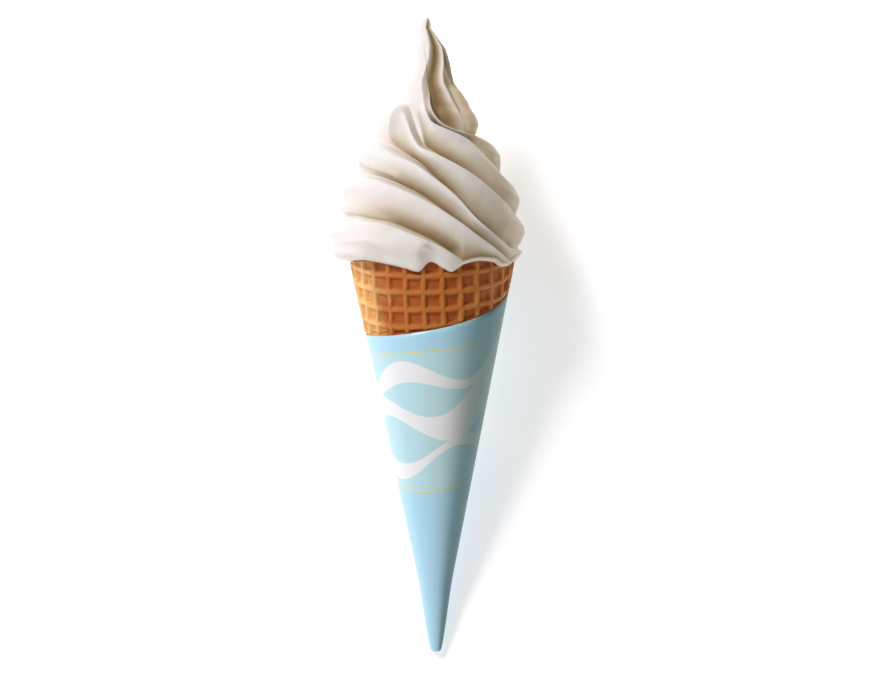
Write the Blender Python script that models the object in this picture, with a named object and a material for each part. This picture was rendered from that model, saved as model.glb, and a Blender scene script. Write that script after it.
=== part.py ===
"""Soft-serve ice cream cone: a piped swirl, a rolled waffle cone and a paper sleeve round it.

Sizes are in metres, +Z up. The cone lies on its back with its tip toward -Y and its peak toward +Y,
so the side with the coils and the sleeve's slanted edge looks up.
"""

import math

import bmesh
import bpy
import numpy as np

# Cone, measured along its axis from the point where its sides would meet
HALF_ANGLE = math.radians(11.57)
RIM_AT = 0.13956
RIM_RADIUS = RIM_AT * math.tan(HALF_ANGLE)
CONE_LEAN = 0.0085
LIE_ANGLE = math.radians(12.12)
MIDDLE_ACROSS = -0.00181
MIDDLE_ALONG = 0.11165
GAP = 0.0003

# Waffle cone, rolled from a flat wafer: its grid is straight and even on the flat wafer
WAFFLE_WALL = 0.0024
WAFFLE_TIP_AT = 0.0115
WAFFLE_HOLLOW_AT = 0.0150
WAFFLE_UNDER_SLEEVE = 0.00070
RIM_ROUND = 0.0004
RIB_WIDTH = 0.0015
CELL_DEPTH = 0.00120
CELL_SLOPE = 0.00050
CELL_LEAST = 0.0011
CUTTER_RISE = 0.0009
GRID_ROWS = range(-5, 3)
GRID_COLUMNS = range(-12, 24)
ROW_PITCH = 0.00598
ROW_START = 0.13035
COLUMN_PITCH = 0.00655
COLUMN_START = 0.00282
GRID_TURN = math.radians(-2.3)
RIM_BORDER = 0.0007
EDGE_BORDER = 0.0009
ROLL_SEAM = math.radians(-128)
ROLL_STEP = 0.0007
ROLL_RAMP = math.radians(70)
SEAM_CLEAR = 0.03
SEAM_HALF_GAP = 0.004
WAFFLE_STEP = 0.0001
WAFFLE_RIM_CLEAR = 0.0016

# Paper sleeve, rolled from a flat blank with a straight top edge
SLEEVE_OUTSIDE = -0.00005
SLEEVE_THICKNESS = 0.00034
SLEEVE_TIP_AT = 0.0040
SLEEVE_TIP_ROUND = 0.0014
SLEEVE_TIP_SWELL = 0.0010
SLEEVE_SWELL_FROM = 0.0060
SLEEVE_SWELL_OVER = 0.0260
SLEEVE_END_THICKNESS = 0.0012
SLEEVE_EDGE_SLANT = 0.1161
SLEEVE_EDGE_TURN = math.radians(-11)
SLEEVE_TOP_LIMIT = 0.1365
SLEEVE_LAP = math.radians(125)
SLEEVE_LAP_STEP = 0.00025
SLEEVE_LAP_WIDTH = math.radians(26)
SLEEVE_LAP_FADE = 0.05
SLEEVE_HALF_GAP = 0.003
SLEEVE_END_ROWS = (0.0, 0.12, 0.45, 1.0)
SLEEVE_ROWS = (0.05, 0.12, 0.24, 0.5, 1.0)

# Soft serve: heights are above the cone's virtual point, radii are from its axis
SWIRL_TOP_AT = 0.2244
RIGHT_END_AT = 0.110
PLUG_BOTTOM_AT = 0.030
PLUG_DEPTHS = (-GAP, 0.012, 0.045, 0.08, RIM_AT - PLUG_BOTTOM_AT)
SHELF_STEP = 0.00002
CREASE_WALL = 0.0010
FACE_CURVE = 1.5
WALL_CURVE = 2.0
EDGE_SPREAD = 0.0007
PEAK_FULLNESS = 1.04
PEAK_GROOVE = 0.34
PEAK_GROOVE_CURVE = 0.8
PEAK_BLEND = 0.0008

# Turns, in degrees from the front, over which the coils' outline takes over on each side and behind
LEFT_SIDE = (-90, -28)
RIGHT_SIDE = (22, 84)
RIGHT_REAR = (95, 155)
LEFT_REAR = (200, 270)
FIRST_CREASE_ENDS = (28, 73)
FIRST_CREASE_RETURNS = (110, 150)

# Height of the sharp crest at the top edge of each coil, in millimetres, at degrees from the front
CREST_ANGLES = (-90, -60, -45, -30, -20, -10, 0, 15, 30, 45, 60, 75, 90)
CRESTS = (
    (220.2, 218.0, 216.0, 212.0, 207.0, 199.0, 191.0, 186.2, 184.3, 183.3, 182.9, 182.8, 182.7),
    (207.0, 206.0, 205.0, 203.0, 198.0, 192.4, 187.1, 185.0, 183.0, 180.2, 174.5, 170.4, 169.5),
    (193.8, 193.6, 192.6, 187.8, 182.6, 178.2, 176.4, 173.3, 169.3, 164.3, 160.0, 156.8, 155.4),
    (180.2, 179.4, 178.0, 175.6, 173.8, 171.6, 168.1, 161.8, 152.8, 147.5, 144.0, 143.1, 143.0),
    (168.4, 168.2, 167.3, 165.3, 163.4, 161.2, 158.4, 153.2, 147.3, 143.2, 139.5, 136.0, 133.3),
    (154.2, 153.9, 152.8, 151.6, 149.8, 147.6, 145.2, 140.5, 134.0, 128.0, 125.0, 123.5, 122.9),
)
LEFT_ENDS = (220.2, 207.0, 193.8, 180.2, 168.4, 154.2, 139.6, 126.4)

# Depth of the crease above each crest, and the share of it that is there at angles from the front
CREASE_DEPTHS = (0.0066, 0.0064, 0.0078, 0.0078, 0.0070, 0.0060)
DEPTH_ANGLES = (-90, -60, -45, -30, -15, 0, 20, 40, 60, 75, 90, 130, 230, 270)
DEPTH_SHARES = (0.0, 0.36, 0.58, 0.82, 1.0, 1.0, 1.0, 0.90, 0.62, 0.34, 0.05, 0.6, 0.6, 0.0)

# Radius that the crests reach at each height, and how much more it is on the left
ENVELOPE = (
    (0.138, 0.0320),
    (0.1415, 0.0333),
    (0.145, 0.0340),
    (0.150, 0.0339),
    (0.157, 0.0322),
    (0.164, 0.0302),
    (0.170, 0.0278),
    (0.176, 0.0248),
    (0.1804, 0.0215),
    (0.1865, 0.0178),
    (0.1905, 0.0160),
    (0.1945, 0.0118),
    (0.198, 0.0085),
    (0.2098, 0.0034),
    (0.2244, 0.0005),
)
ENVELOPE_SIDE = 0.0013

# Outline of the swirl: height, then radius on the left and on the right
OUTLINE = (
    (0.1361, 0.0306, 0.0292),
    (0.1396, 0.0320, 0.0299),
    (0.1416, 0.0344, 0.0293),
    (0.1438, 0.0340, 0.0294),
    (0.1453, 0.0341, 0.0309),
    (0.1486, 0.0360, 0.0323),
    (0.1507, 0.0344, 0.0320),
    (0.1528, 0.0309, 0.0306),
    (0.1545, 0.0306, 0.0292),
    (0.1573, 0.0325, 0.0304),
    (0.1601, 0.0311, 0.0311),
    (0.1642, 0.0323, 0.0290),
    (0.1656, 0.0289, 0.0278),
    (0.1677, 0.0264, 0.0254),
    (0.1691, 0.0262, 0.0243),
    (0.1722, 0.0262, 0.0245),
    (0.1757, 0.0273, 0.0242),
    (0.1785, 0.0228, 0.0224),
    (0.1802, 0.0212, 0.0202),
    (0.1813, 0.0202, 0.0181),
    (0.1827, 0.0200, 0.0156),
    (0.1861, 0.0193, 0.0165),
    (0.1896, 0.0184, 0.0153),
    (0.1917, 0.0167, 0.0143),
    (0.1931, 0.0146, 0.0136),
    (0.1945, 0.0108, 0.0129),
    (0.1959, 0.0076, 0.0118),
    (0.1980, 0.0063, 0.0104),
    (0.2007, 0.0049, 0.0073),
    (0.2098, 0.0028, 0.0028),
    (0.2244, 0.0002, 0.0002),
)

# Peak: height, radius, and how far its middle leans to the right
PEAK = (
    (0.1300, 0.0150, 0.0),
    (0.1820, 0.0140, 0.0),
    (0.1900, 0.0125, 0.0),
    (0.1945, 0.0112, 0.0),
    (0.1973, 0.0099, 0.0002),
    (0.1993, 0.0091, -0.0001),
    (0.2014, 0.0080, -0.0004),
    (0.2042, 0.0070, -0.0003),
    (0.2084, 0.0060, 0.0),
    (0.2112, 0.0054, -0.0001),
    (0.2140, 0.0048, -0.0004),
    (0.2167, 0.0036, -0.0011),
    (0.2188, 0.0028, -0.0017),
    (0.2209, 0.0020, -0.0024),
    (0.2230, 0.0015, -0.0021),
    (0.2244, 0.0004, -0.0018),
)

# Grooves round the peak: angle from its main ridge in degrees, and 0 on a ridge to 1 in a groove
PEAK_GROOVES = (
    (0, 0.0),
    (30, 1.0),
    (54, 0.0),
    (92, 1.0),
    (112, 0.0),
    (150, 1.0),
    (170, 0.0),
    (200, 1.0),
    (225, 0.0),
    (246, 1.0),
    (258, 0.0),
    (270, 1.0),
    (310, 0.04),
)
PEAK_TWIST_HEIGHTS = (0.180, 0.187, 0.1924, 0.197, 0.202, 0.211, 0.217, 0.224)
PEAK_TWIST = (0.0, -2.0, -9.0, -19.0, -24.0, -11.0, -3.0, 5.0)

# Softer second ridges on the coils: angles in degrees, heights in millimetres, rise and half width
RIDGE_FADES = (25.0, 16.0)
RIDGE_CURVE = 1.7
RIDGES = (
    ((-90, -60, -33, -14), (175.7, 172.8, 169.1, 163.6), 0.0016, 0.0030),
    ((-90, -60, -40, -18), (157.2, 156.3, 154.5, 150.0), 0.0012, 0.0026),
    ((-90, -60, -39, -28, -18, -4), (146.5, 146.2, 146.2, 143.0, 139.8, 134.5), 0.0008, 0.0030),
    ((-24, -11, -3, 4, 13, 24), (149.5, 146.2, 143.7, 140.3, 136.1, 132.0), 0.0013, 0.0024),
)

# Upright fold on the left, where the first coil leaves the peak
PETAL_HEIGHTS = (0.1780, 0.1809, 0.1854, 0.1896, 0.1938, 0.1970)
PETAL_ANGLES = (-36, -42, -50, -49, -48, -45)
PETAL_RISE = 0.0026
PETAL_HALF_WIDTH = 0.0038
PETAL_FADE = 0.005
PETAL_CURVE = 1.5

# Lower edge: degrees from the front, and how far it hangs below the rim there, in millimetres
DRAPE = (
    (-180, -0.6),
    (-150, 0.9),
    (-120, -0.2),
    (-90, -0.4),
    (-60, -0.6),
    (-45, 0.2),
    (-20, 2.6),
    (-10, 3.9),
    (-1, 0.5),
    (7, 2.6),
    (13, 3.9),
    (22, 1.2),
    (34, 0.0),
    (45, 0.3),
    (54, 1.9),
    (62, 1.7),
    (72, -0.4),
    (90, -1.2),
    (120, 1.6),
    (150, 0.2),
    (180, -0.6),
)
DRAPE_ROLL = 0.0018
DRAPE_LIP = 0.0016
DRAPE_CLEAR = 0.0006
DRAPE_THICKNESS = 0.0012
DRAPE_SETTLES = (0.0006, 0.0081)

CREAM = (0.84, 0.77, 0.66)
WAFER = (0.72, 0.40, 0.13)
PAPER = (0.42, 0.68, 0.80)


def clear_scene():
    """Remove what the scene held before."""
    for found in list(bpy.data.objects):
        bpy.data.objects.remove(found)


def smoothstep(value):
    """Soft step from 0 at 0 to 1 at 1."""
    value = np.clip(value, 0.0, 1.0)
    return value * value * (3.0 - 2.0 * value)


def rise(value, limits):
    """0 below the first limit to 1 above the second, with soft ends."""
    start, end = limits
    return smoothstep((value - start) / (end - start))


def smooth_through(place, places, values):
    """Smooth curve through given points, which never swings past them."""
    known, height = np.asarray(places, float), np.asarray(values, float)
    steps = np.diff(known)
    slopes = np.diff(height) / steps
    before, after = slopes[:-1], slopes[1:]
    near, far = 2 * steps[1:] + steps[:-1], steps[1:] + 2 * steps[:-1]
    turning = before * after <= 0
    inverse = near / np.where(turning, 1.0, before) + far / np.where(turning, 1.0, after)
    inner = np.where(turning, 0.0, (near + far) / np.where(turning, 1.0, inverse))
    slope = np.concatenate([slopes[:1], inner, slopes[-1:]])
    span = np.clip(np.searchsorted(known, place, "right") - 1, 0, len(steps) - 1)
    along = np.clip((place - known[span]) / steps[span], 0.0, 1.0)
    rest = 1.0 - along
    return (
        height[span] * rest**2 * (1 + 2 * along)
        + height[span + 1] * along**2 * (3 - 2 * along)
        + steps[span] * along * rest * (slope[span] * rest - slope[span + 1] * along)
    )


def tip_swell(along):
    """How much wider than the cone the sleeve is near its blunt tip."""
    return SLEEVE_TIP_SWELL * (1.0 - smoothstep((along - SLEEVE_SWELL_FROM) / SLEEVE_SWELL_OVER))


def tip_offset(along):
    """How far the sleeve's outside stands off from the cone near its tip, with its end rounded."""
    before = 1.0 - np.clip((along - SLEEVE_TIP_AT) / SLEEVE_TIP_ROUND, 0.0, 1.0)
    rounding = SLEEVE_TIP_ROUND * (1.0 - np.sqrt(1.0 - before**2))
    return (tip_swell(along) - rounding) * math.cos(HALF_ANGLE)


def tip_lift(samples=200):
    """How far the lying cone is raised so that its tip rests on the floor."""
    along = np.linspace(SLEEVE_TIP_AT, SLEEVE_TIP_AT + SLEEVE_SWELL_OVER, samples)
    radius = along * math.tan(HALF_ANGLE) + tip_offset(along) / math.cos(HALF_ANGLE)
    return float(np.max(radius * math.cos(LIE_ANGLE) - along * math.sin(LIE_ANGLE)))


TIP_LIFT = tip_lift()


def lying(across, along, front):
    """Point of the lying cone for a place across its axis, along it, and toward the shown side."""
    turn_cos, turn_sin = math.cos(LIE_ANGLE), math.sin(LIE_ANGLE)
    return np.stack(
        [
            across + CONE_LEAN * np.maximum(0.0, RIM_AT - along) - MIDDLE_ACROSS,
            along * turn_cos - front * turn_sin - MIDDLE_ALONG,
            along * turn_sin + front * turn_cos + TIP_LIFT,
        ],
        axis=-1,
    )


def cone_ring(angle, along, offset):
    """Ring of points round the cone at a height, moved out square to its side by an offset."""
    radius = along * math.tan(HALF_ANGLE) + offset / math.cos(HALF_ANGLE)
    return lying(radius * np.sin(angle), along, radius * np.cos(angle))


def sleeve_edge(angle):
    """Height of the sleeve's top edge, straight on the flat blank."""
    turned = (angle - SLEEVE_LAP) % (2 * math.pi) + SLEEVE_LAP - 2 * math.pi
    flat_turn = turned * math.sin(HALF_ANGLE) - SLEEVE_EDGE_TURN
    slant = SLEEVE_EDGE_SLANT / np.cos(flat_turn)
    return np.minimum(slant * math.cos(HALF_ANGLE), SLEEVE_TOP_LIMIT)


def crest_height(line, angle):
    """Height of a coil's crest at angles from -90 degrees on the left, over the front, to 270 degrees."""
    front = smooth_through(np.degrees(angle), CREST_ANGLES, CRESTS[line])
    right, behind = CRESTS[line][-1], LEFT_ENDS[line + 1]
    back = right + (behind - right) * rise(np.degrees(angle), (90, 270))
    return 0.001 * np.where(angle <= math.pi / 2, front, back)


def envelope_radius(height, angle):
    """Radius that the crests reach at a height, a little larger on the left."""
    table = np.array(ENVELOPE)
    lean = ENVELOPE_SIDE * np.clip((0.200 - height) / 0.02, 0.0, 1.0)
    return smooth_through(height, table[:, 0], table[:, 1]) - lean * np.sin(angle)


def side_offset(coil, down, side):
    """How far a coil's outline stands off from the envelope on the left, side -1, or the right, side 1."""
    if side < 0:
        tops = (1000 * SWIRL_TOP_AT,) + LEFT_ENDS
        upper, lower = tops[min(coil, len(tops) - 2)], tops[min(coil + 1, len(tops) - 1)]
    else:
        tops = (1000 * SWIRL_TOP_AT,) + tuple(line[-1] for line in CRESTS) + (1000 * RIGHT_END_AT,)
        upper, lower = tops[coil], tops[coil + 1]
    height = 0.001 * (upper + (lower - upper) * down)
    table = np.array(OUTLINE)
    drawn = np.interp(height, table[:, 0], table[:, 1 if side < 0 else 2])
    return drawn - envelope_radius(height, side * math.pi / 2)


def fold_section(down, edge):
    """0 on a coil's crest, which lies at edge, to 1 in the creases above and below it."""
    face = np.clip((down - edge) / (1.0 - edge), 0.0, 1.0)
    wall = np.clip(1.0 - down / np.maximum(edge, 1e-6), 0.0, 1.0)
    return np.maximum(face**FACE_CURVE, wall**WALL_CURVE)


def fold_depth(turned, coil, down):
    """Depth of the creases at a coil, for angles in degrees and how far down across the coil a place is."""
    depths = CREASE_DEPTHS + (CREASE_DEPTHS[-1],)
    if coil == 0:
        share = 1.0 - rise(turned, FIRST_CREASE_ENDS) + rise(turned, FIRST_CREASE_RETURNS)
        return share * depths[0]
    upper = depths[coil - 1] if coil > 1 else depths[coil]
    share = smooth_through(turned, DEPTH_ANGLES, DEPTH_SHARES)
    return share * (upper + (depths[coil] - upper) * smoothstep(down * 1.6 - 0.5))


def ridge_lift(angle, height):
    """Rise of the softer second ridges on the coils."""
    turned = np.degrees(angle)
    total = 0 * turned
    for angles, heights, lift, half_width in RIDGES:
        line = smooth_through(turned, angles, heights) / 1000
        start, end = RIDGE_FADES
        fade = smoothstep((turned - angles[0]) / start) * smoothstep((angles[-1] - turned) / end)
        beside = np.clip(1.0 - np.abs(height - line) / half_width, 0.0, 1.0)
        total = total + lift * fade * beside**RIDGE_CURVE
    return total


def petal_lift(angle, height, radius):
    """Rise of the upright fold that the first coil makes where it leaves the peak."""
    line = np.radians(smooth_through(height, PETAL_HEIGHTS, PETAL_ANGLES))
    beside = np.clip(1.0 - np.abs(angle - line) * radius / PETAL_HALF_WIDTH, 0.0, 1.0)
    lower, upper = (height - PETAL_HEIGHTS[0]) / PETAL_FADE, (PETAL_HEIGHTS[-1] - height) / PETAL_FADE
    return PETAL_RISE * smoothstep(lower) * smoothstep(upper) * beside**PETAL_CURVE


def peak_groove(angle, height):
    """0 on the peak's sharp ridges to 1 in its round grooves, which twist as they climb."""
    twist = smooth_through(height, PEAK_TWIST_HEIGHTS, PEAK_TWIST)
    table = np.array(PEAK_GROOVES)
    groove = np.interp(np.degrees(angle) - twist, table[:, 0], table[:, 1], period=360.0)
    return np.sin(0.5 * np.pi * groove) ** PEAK_GROOVE_CURVE


def swirl_radius(angle, height, coil, down, edge):
    """Radius of the coils and the peak, for a coil's number and how far down across it a point is."""
    turned = np.degrees(angle)
    left = (1.0 - rise(turned, LEFT_SIDE)) * side_offset(coil, down, -1)
    left = left + rise(turned, LEFT_REAR) * side_offset(coil + 1, down, -1)
    near_right = rise(turned, RIGHT_SIDE) * (1.0 - rise(turned, RIGHT_REAR))
    inward = fold_section(down, edge)
    if coil == len(CRESTS):
        inward = np.where(down < edge, inward, 0.0)
    coils = envelope_radius(height, angle) + left + near_right * side_offset(coil, down, 1)
    coils = coils - fold_depth(turned, coil, down) * inward + ridge_lift(angle, height)
    coils = coils + petal_lift(angle, height, coils)
    peak = np.array(PEAK)
    body = smooth_through(height, peak[:, 0], peak[:, 1])
    spire = body * (PEAK_FULLNESS - PEAK_GROOVE * peak_groove(angle, height))
    blend = np.clip(0.5 + 0.5 * (coils - spire) / PEAK_BLEND, 0, 1)
    return spire + (coils - spire) * blend + PEAK_BLEND * blend * (1 - blend)


def swirl_lean(height):
    """How far the middle of the swirl leans to the right at a height."""
    peak = np.array(PEAK)
    return np.interp(height, peak[:, 0], peak[:, 2])


def drape_height(angle):
    """Height of the swirl's lower edge, which hangs over the rim in soft teeth."""
    turned = np.degrees((angle + math.pi) % (2 * math.pi) - math.pi)
    table = np.array(DRAPE)
    return RIM_AT - 0.001 * smooth_through(turned, table[:, 0], table[:, 1])


def finish_mesh(name, points, faces):
    """Smooth-shaded object of a closed mesh whose faces point out."""
    mesh = bpy.data.meshes.new(name)
    mesh.from_pydata(points, [], faces)
    shaped = bmesh.new()
    shaped.from_mesh(mesh)
    bmesh.ops.recalc_face_normals(shaped, faces=shaped.faces)
    shaped.to_mesh(mesh)
    shaped.free()
    mesh.polygons.foreach_set("use_smooth", [True] * len(mesh.polygons))
    made = bpy.data.objects.new(name, mesh)
    bpy.context.scene.collection.objects.link(made)
    return made


def paint(made, name, colour, roughness):
    """Give a piece its own plain material."""
    material = bpy.data.materials.new(name)
    material.use_nodes = True
    shader = material.node_tree.nodes["Principled BSDF"]
    shader.inputs["Base Color"].default_value = (*colour, 1.0)
    shader.inputs["Roughness"].default_value = roughness
    made.data.materials.append(material)


def draped_radius(angle, height, radius, lower):
    """Radius with the lower edge resting against the cone in front, and rolled under elsewhere."""
    cone = height * math.tan(HALF_ANGLE)
    above = np.clip((height - lower) / DRAPE_LIP, 0.0, 1.0)
    touching = cone + DRAPE_CLEAR + DRAPE_THICKNESS * np.sqrt(above)
    free = radius - DRAPE_ROLL * (1.0 - np.sqrt(1.0 - (1.0 - above) ** 2))
    front = rise(np.cos(angle), (-0.15, 0.35)) * (1.0 - rise(-np.sin(angle), (0.5, 0.8)))
    settled = touching + (free - touching) * rise(height - lower, DRAPE_SETTLES)
    return free + (settled - free) * front


def coil_levels(angle, lower, coil_rows, top_rows, wall_rows):
    """Radius and height of each level of points on the outside, from the peak down to the lower edge."""
    lines = len(CRESTS)
    crests = []
    for line in range(lines):
        least = lower + EDGE_SPREAD * (lines - line) - 0.5 * EDGE_SPREAD
        crests.append(np.maximum(crest_height(line, angle), least))
    creases = [np.full(len(angle), SWIRL_TOP_AT)]
    for line in range(lines):
        room = (creases[-1] if line == 0 else crests[line - 1]) - crests[line]
        creases.append(crests[line] + np.minimum(CREASE_WALL, 0.4 * np.maximum(room, 0.0002)))
    creases.append(lower)
    levels = []
    for coil in range(lines + 1):
        upper, under = creases[coil], creases[coil + 1]
        steps, walls, edge = top_rows, 0, 0 * angle
        if coil > 0:
            steps, walls = coil_rows, wall_rows
            edge = np.clip((upper - crests[coil - 1]) / np.maximum(upper - under, 1e-6), 0.0, 0.8)
        for step in range(steps):
            if step < walls:
                down = edge * step / walls
            else:
                down = edge + (1.0 - edge) * (step - walls) / (steps - walls)
            height = np.minimum(upper + (under - upper) * down, SWIRL_TOP_AT - SHELF_STEP)
            radius = swirl_radius(angle, height, coil, down, edge)
            levels.append((draped_radius(angle, height, radius, lower), height))
    return levels


def make_soft_serve(front_columns=150, back_columns=70, coil_rows=14, top_rows=30, wall_rows=2, kept=0.15):
    """Swirl with its plug, drawn finely in rings and then thinned where it is smooth."""
    front = np.linspace(-math.pi / 2, math.pi / 2, front_columns, endpoint=False)
    back = np.linspace(math.pi / 2, 1.5 * math.pi, back_columns, endpoint=False)
    angle = np.concatenate([front, back])
    count = len(angle)
    lower = drape_height(angle)
    levels = coil_levels(angle, lower, coil_rows, top_rows, wall_rows)
    on_cone = GAP / math.cos(HALF_ANGLE)
    inside = (WAFFLE_WALL + GAP) / math.cos(HALF_ANGLE)
    tucked = np.minimum(lower, RIM_AT + GAP)
    levels.append((tucked * math.tan(HALF_ANGLE) + on_cone, tucked))
    levels.append((RIM_RADIUS + on_cone + 0 * angle, RIM_AT + GAP + SHELF_STEP + 0 * angle))
    for depth in PLUG_DEPTHS:
        height = RIM_AT - depth + 0 * angle
        levels.append((height * math.tan(HALF_ANGLE) - inside, height))
    rows = []
    for radius, height in levels:
        lean = swirl_lean(height)
        place = lying(lean + radius * np.sin(angle), height, radius * np.cos(angle))
        middle = lying(lean, height, 0 * radius)
        below = place[:, 2] < 0.0
        reach = np.where(below, middle[:, 2] / np.maximum(middle[:, 2] - place[:, 2], 1e-9), 1.0)
        rows.append(middle + (place - middle) * reach[:, None])
    columns = np.array(rows).transpose(1, 0, 2)
    total = columns.shape[1]
    points = [tuple(p) for p in columns.reshape(-1, 3)]
    faces = []
    for column in range(count - 1):
        here, there = column * total, (column + 1) * total
        for row in range(total - 1):
            faces.append((here + row, here + row + 1, there + row + 1, there + row))
    # The coils climb by one over a turn, so the last column meets the first by height and not by level
    heights = np.array([height for _, height in levels]).T
    here, there, last, first = 0, 0, (count - 1) * total, 0
    shared = len(levels) - len(PLUG_DEPTHS) - 2
    while here < total - 1 or there < total - 1:
        if here >= shared and here == there:
            faces.append((last + here, last + here + 1, first + there + 1, first + there))
            here, there = here + 1, there + 1
        elif there >= shared or (here < shared and heights[-1, here + 1] >= heights[0, there + 1]):
            faces.append((last + here, last + here + 1, first + there))
            here = here + 1
        else:
            faces.append((last + here, first + there + 1, first + there))
            there = there + 1
    for end, flip in ((0, False), (total - 1, True)):
        middle = len(points)
        points.append(tuple(columns[:, end].mean(axis=0)))
        for column in range(count):
            beside = (column + 1) % count
            face = (middle, beside * total + end, column * total + end)
            faces.append(face[::-1] if flip else face)
    made = finish_mesh("soft_serve", points, faces)
    thin = made.modifiers.new("Thin", "DECIMATE")
    thin.ratio = kept
    paint(made, "soft_serve", CREAM, 0.45)
    return made


def solid_of_rings(name, rings):
    """Closed mesh from rings of points that start and end at a point on the axis."""
    rings = np.array(rings)
    rows, count = rings.shape[0], rings.shape[1]
    points = [tuple(p) for p in rings.reshape(-1, 3)]
    faces = []
    for row in range(rows - 1):
        for column in range(count):
            here, beside = row * count + column, row * count + (column + 1) % count
            faces.append((here, beside, beside + count, here + count))
    for end in (0, rows - 1):
        middle = len(points)
        points.append(tuple(rings[end].mean(axis=0)))
        for column in range(count):
            faces.append((middle, end * count + column, end * count + (column + 1) % count))
    return finish_mesh(name, points, faces)


def roll_offset(angle):
    """How far the rolled wafer's outer end stands off at its seam, easing down to nothing round the cone."""
    past = (angle - ROLL_SEAM) % (2 * math.pi)
    return ROLL_STEP * (1.0 - smoothstep(past / ROLL_RAMP))


def flat_to_cone(across, up, offset):
    """Point on the cone for a place on the flat wafer, whose grid is turned a little from the front."""
    slant = np.hypot(across, up)
    turn = np.arctan2(across, up) + GRID_TURN
    angle = turn / math.sin(HALF_ANGLE)
    lowest = sleeve_edge(angle) / math.cos(HALF_ANGLE) + EDGE_BORDER
    slant = np.clip(slant, lowest, RIM_AT / math.cos(HALF_ANGLE) - RIM_BORDER)
    along = slant * math.cos(HALF_ANGLE)
    return cone_ring(angle, along, offset + roll_offset(angle)), slant, angle


def make_pockets():
    """Tapered pockets of the wafer's grid, as one hidden cutter."""
    points = []
    faces = []
    half = RIB_WIDTH / 2
    for row in GRID_ROWS:
        for column in GRID_COLUMNS:
            left = COLUMN_START + column * COLUMN_PITCH
            low = ROW_START + row * ROW_PITCH
            right, high = left + COLUMN_PITCH, low + ROW_PITCH
            corners = []
            sides = []
            for offset, inset in ((CUTTER_RISE, half - CELL_SLOPE), (-CELL_DEPTH, half + CELL_SLOPE)):
                x = np.array([left + inset, right - inset, right - inset, left + inset])
                y = np.array([low + inset, low + inset, high - inset, high - inset])
                place, slant, angle = flat_to_cone(x, y, offset)
                corners.extend(tuple(p) for p in place)
                sides.append(min(slant[3] - slant[0], slant[2] - slant[1]))
            past = (angle - ROLL_SEAM) % (2 * math.pi)
            wrapped = (angle < ROLL_SEAM).any() or (angle > ROLL_SEAM + 2 * math.pi).any()
            at_seam = past.min() < SEAM_CLEAR or past.max() > 2 * math.pi - SEAM_CLEAR
            if min(sides) < CELL_LEAST or wrapped or at_seam:
                continue
            base = len(points)
            points.extend(corners)
            faces.append((base, base + 1, base + 2, base + 3))
            faces.append((base + 7, base + 6, base + 5, base + 4))
            for side in range(4):
                after = (side + 1) % 4
                faces.append((base + side, base + 4 + side, base + 4 + after, base + after))
    cutter = finish_mesh("pocket_cutter", points, faces)
    cutter.hide_render = True
    cutter.display_type = "WIRE"
    return cutter


def make_waffle_cone(count=84):
    """Hollow wafer with its grid of pockets above the sleeve, and its wall thinned where the sleeve lies."""
    even = np.linspace(0.0, 2 * math.pi, count, endpoint=False)
    angle = ROLL_SEAM + SEAM_HALF_GAP + even * (2 * math.pi - 2 * SEAM_HALF_GAP) / even[-1]
    edge = np.minimum(sleeve_edge(angle), RIM_AT - WAFFLE_RIM_CLEAR)
    rolled = roll_offset(angle)
    same = 0 * angle
    hidden = -WAFFLE_UNDER_SLEEVE + same
    rings = [
        cone_ring(angle, WAFFLE_TIP_AT + same, hidden),
        cone_ring(angle, 0.5 * (edge + WAFFLE_TIP_AT), hidden),
        cone_ring(angle, edge + GAP, hidden),
        cone_ring(angle, edge + GAP + WAFFLE_STEP, rolled),
        cone_ring(angle, RIM_AT - RIM_ROUND + same, rolled),
        cone_ring(angle, RIM_AT + same, rolled - RIM_ROUND),
        cone_ring(angle, RIM_AT + same, same - WAFFLE_WALL),
        cone_ring(angle, 0.5 * (RIM_AT + WAFFLE_HOLLOW_AT) + same, same - WAFFLE_WALL),
        cone_ring(angle, WAFFLE_HOLLOW_AT + same, same - WAFFLE_WALL),
    ]
    made = solid_of_rings("waffle_cone", rings)
    cut = made.modifiers.new("Grid", "BOOLEAN")
    cut.operation = "DIFFERENCE"
    cut.solver = "MANIFOLD"
    cut.object = make_pockets()
    paint(made, "waffle_cone", WAFER, 0.6)
    return made


def make_paper_sleeve(count=84):
    """Paper rolled to a cone with a blunt, rounded tip."""
    even = np.linspace(0.0, 2 * math.pi, count, endpoint=False)
    angle = SLEEVE_LAP + SLEEVE_HALF_GAP + even * (2 * math.pi - 2 * SLEEVE_HALF_GAP) / even[-1]
    edge = sleeve_edge(angle)
    past = (angle - SLEEVE_LAP) % (2 * math.pi)
    lap = SLEEVE_LAP_STEP * (1.0 - smoothstep((past - SLEEVE_LAP_WIDTH) / SLEEVE_LAP_FADE))
    bottom = SLEEVE_TIP_AT + SLEEVE_END_THICKNESS
    rings = []
    for share in SLEEVE_END_ROWS:
        along = SLEEVE_TIP_AT + SLEEVE_TIP_ROUND * share
        rings.append(cone_ring(angle, along + 0 * angle, tip_offset(along) + SLEEVE_OUTSIDE + 0 * angle))
    for share in SLEEVE_ROWS:
        along = bottom + (edge - bottom) * share
        lapped = lap * rise(share, (0.0, 0.2))
        rings.append(cone_ring(angle, along, tip_offset(along) + SLEEVE_OUTSIDE + lapped))
    for share in SLEEVE_ROWS[::-1] + (0.0,):
        along = bottom + (edge - bottom) * share
        inside = SLEEVE_OUTSIDE - SLEEVE_THICKNESS + tip_swell(along) * math.cos(HALF_ANGLE)
        rings.append(cone_ring(angle, along, inside))
    made = solid_of_rings("paper_sleeve", rings)
    paint(made, "paper_sleeve", PAPER, 0.35)
    return made


clear_scene()
make_soft_serve()
make_waffle_cone()
make_paper_sleeve()
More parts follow.
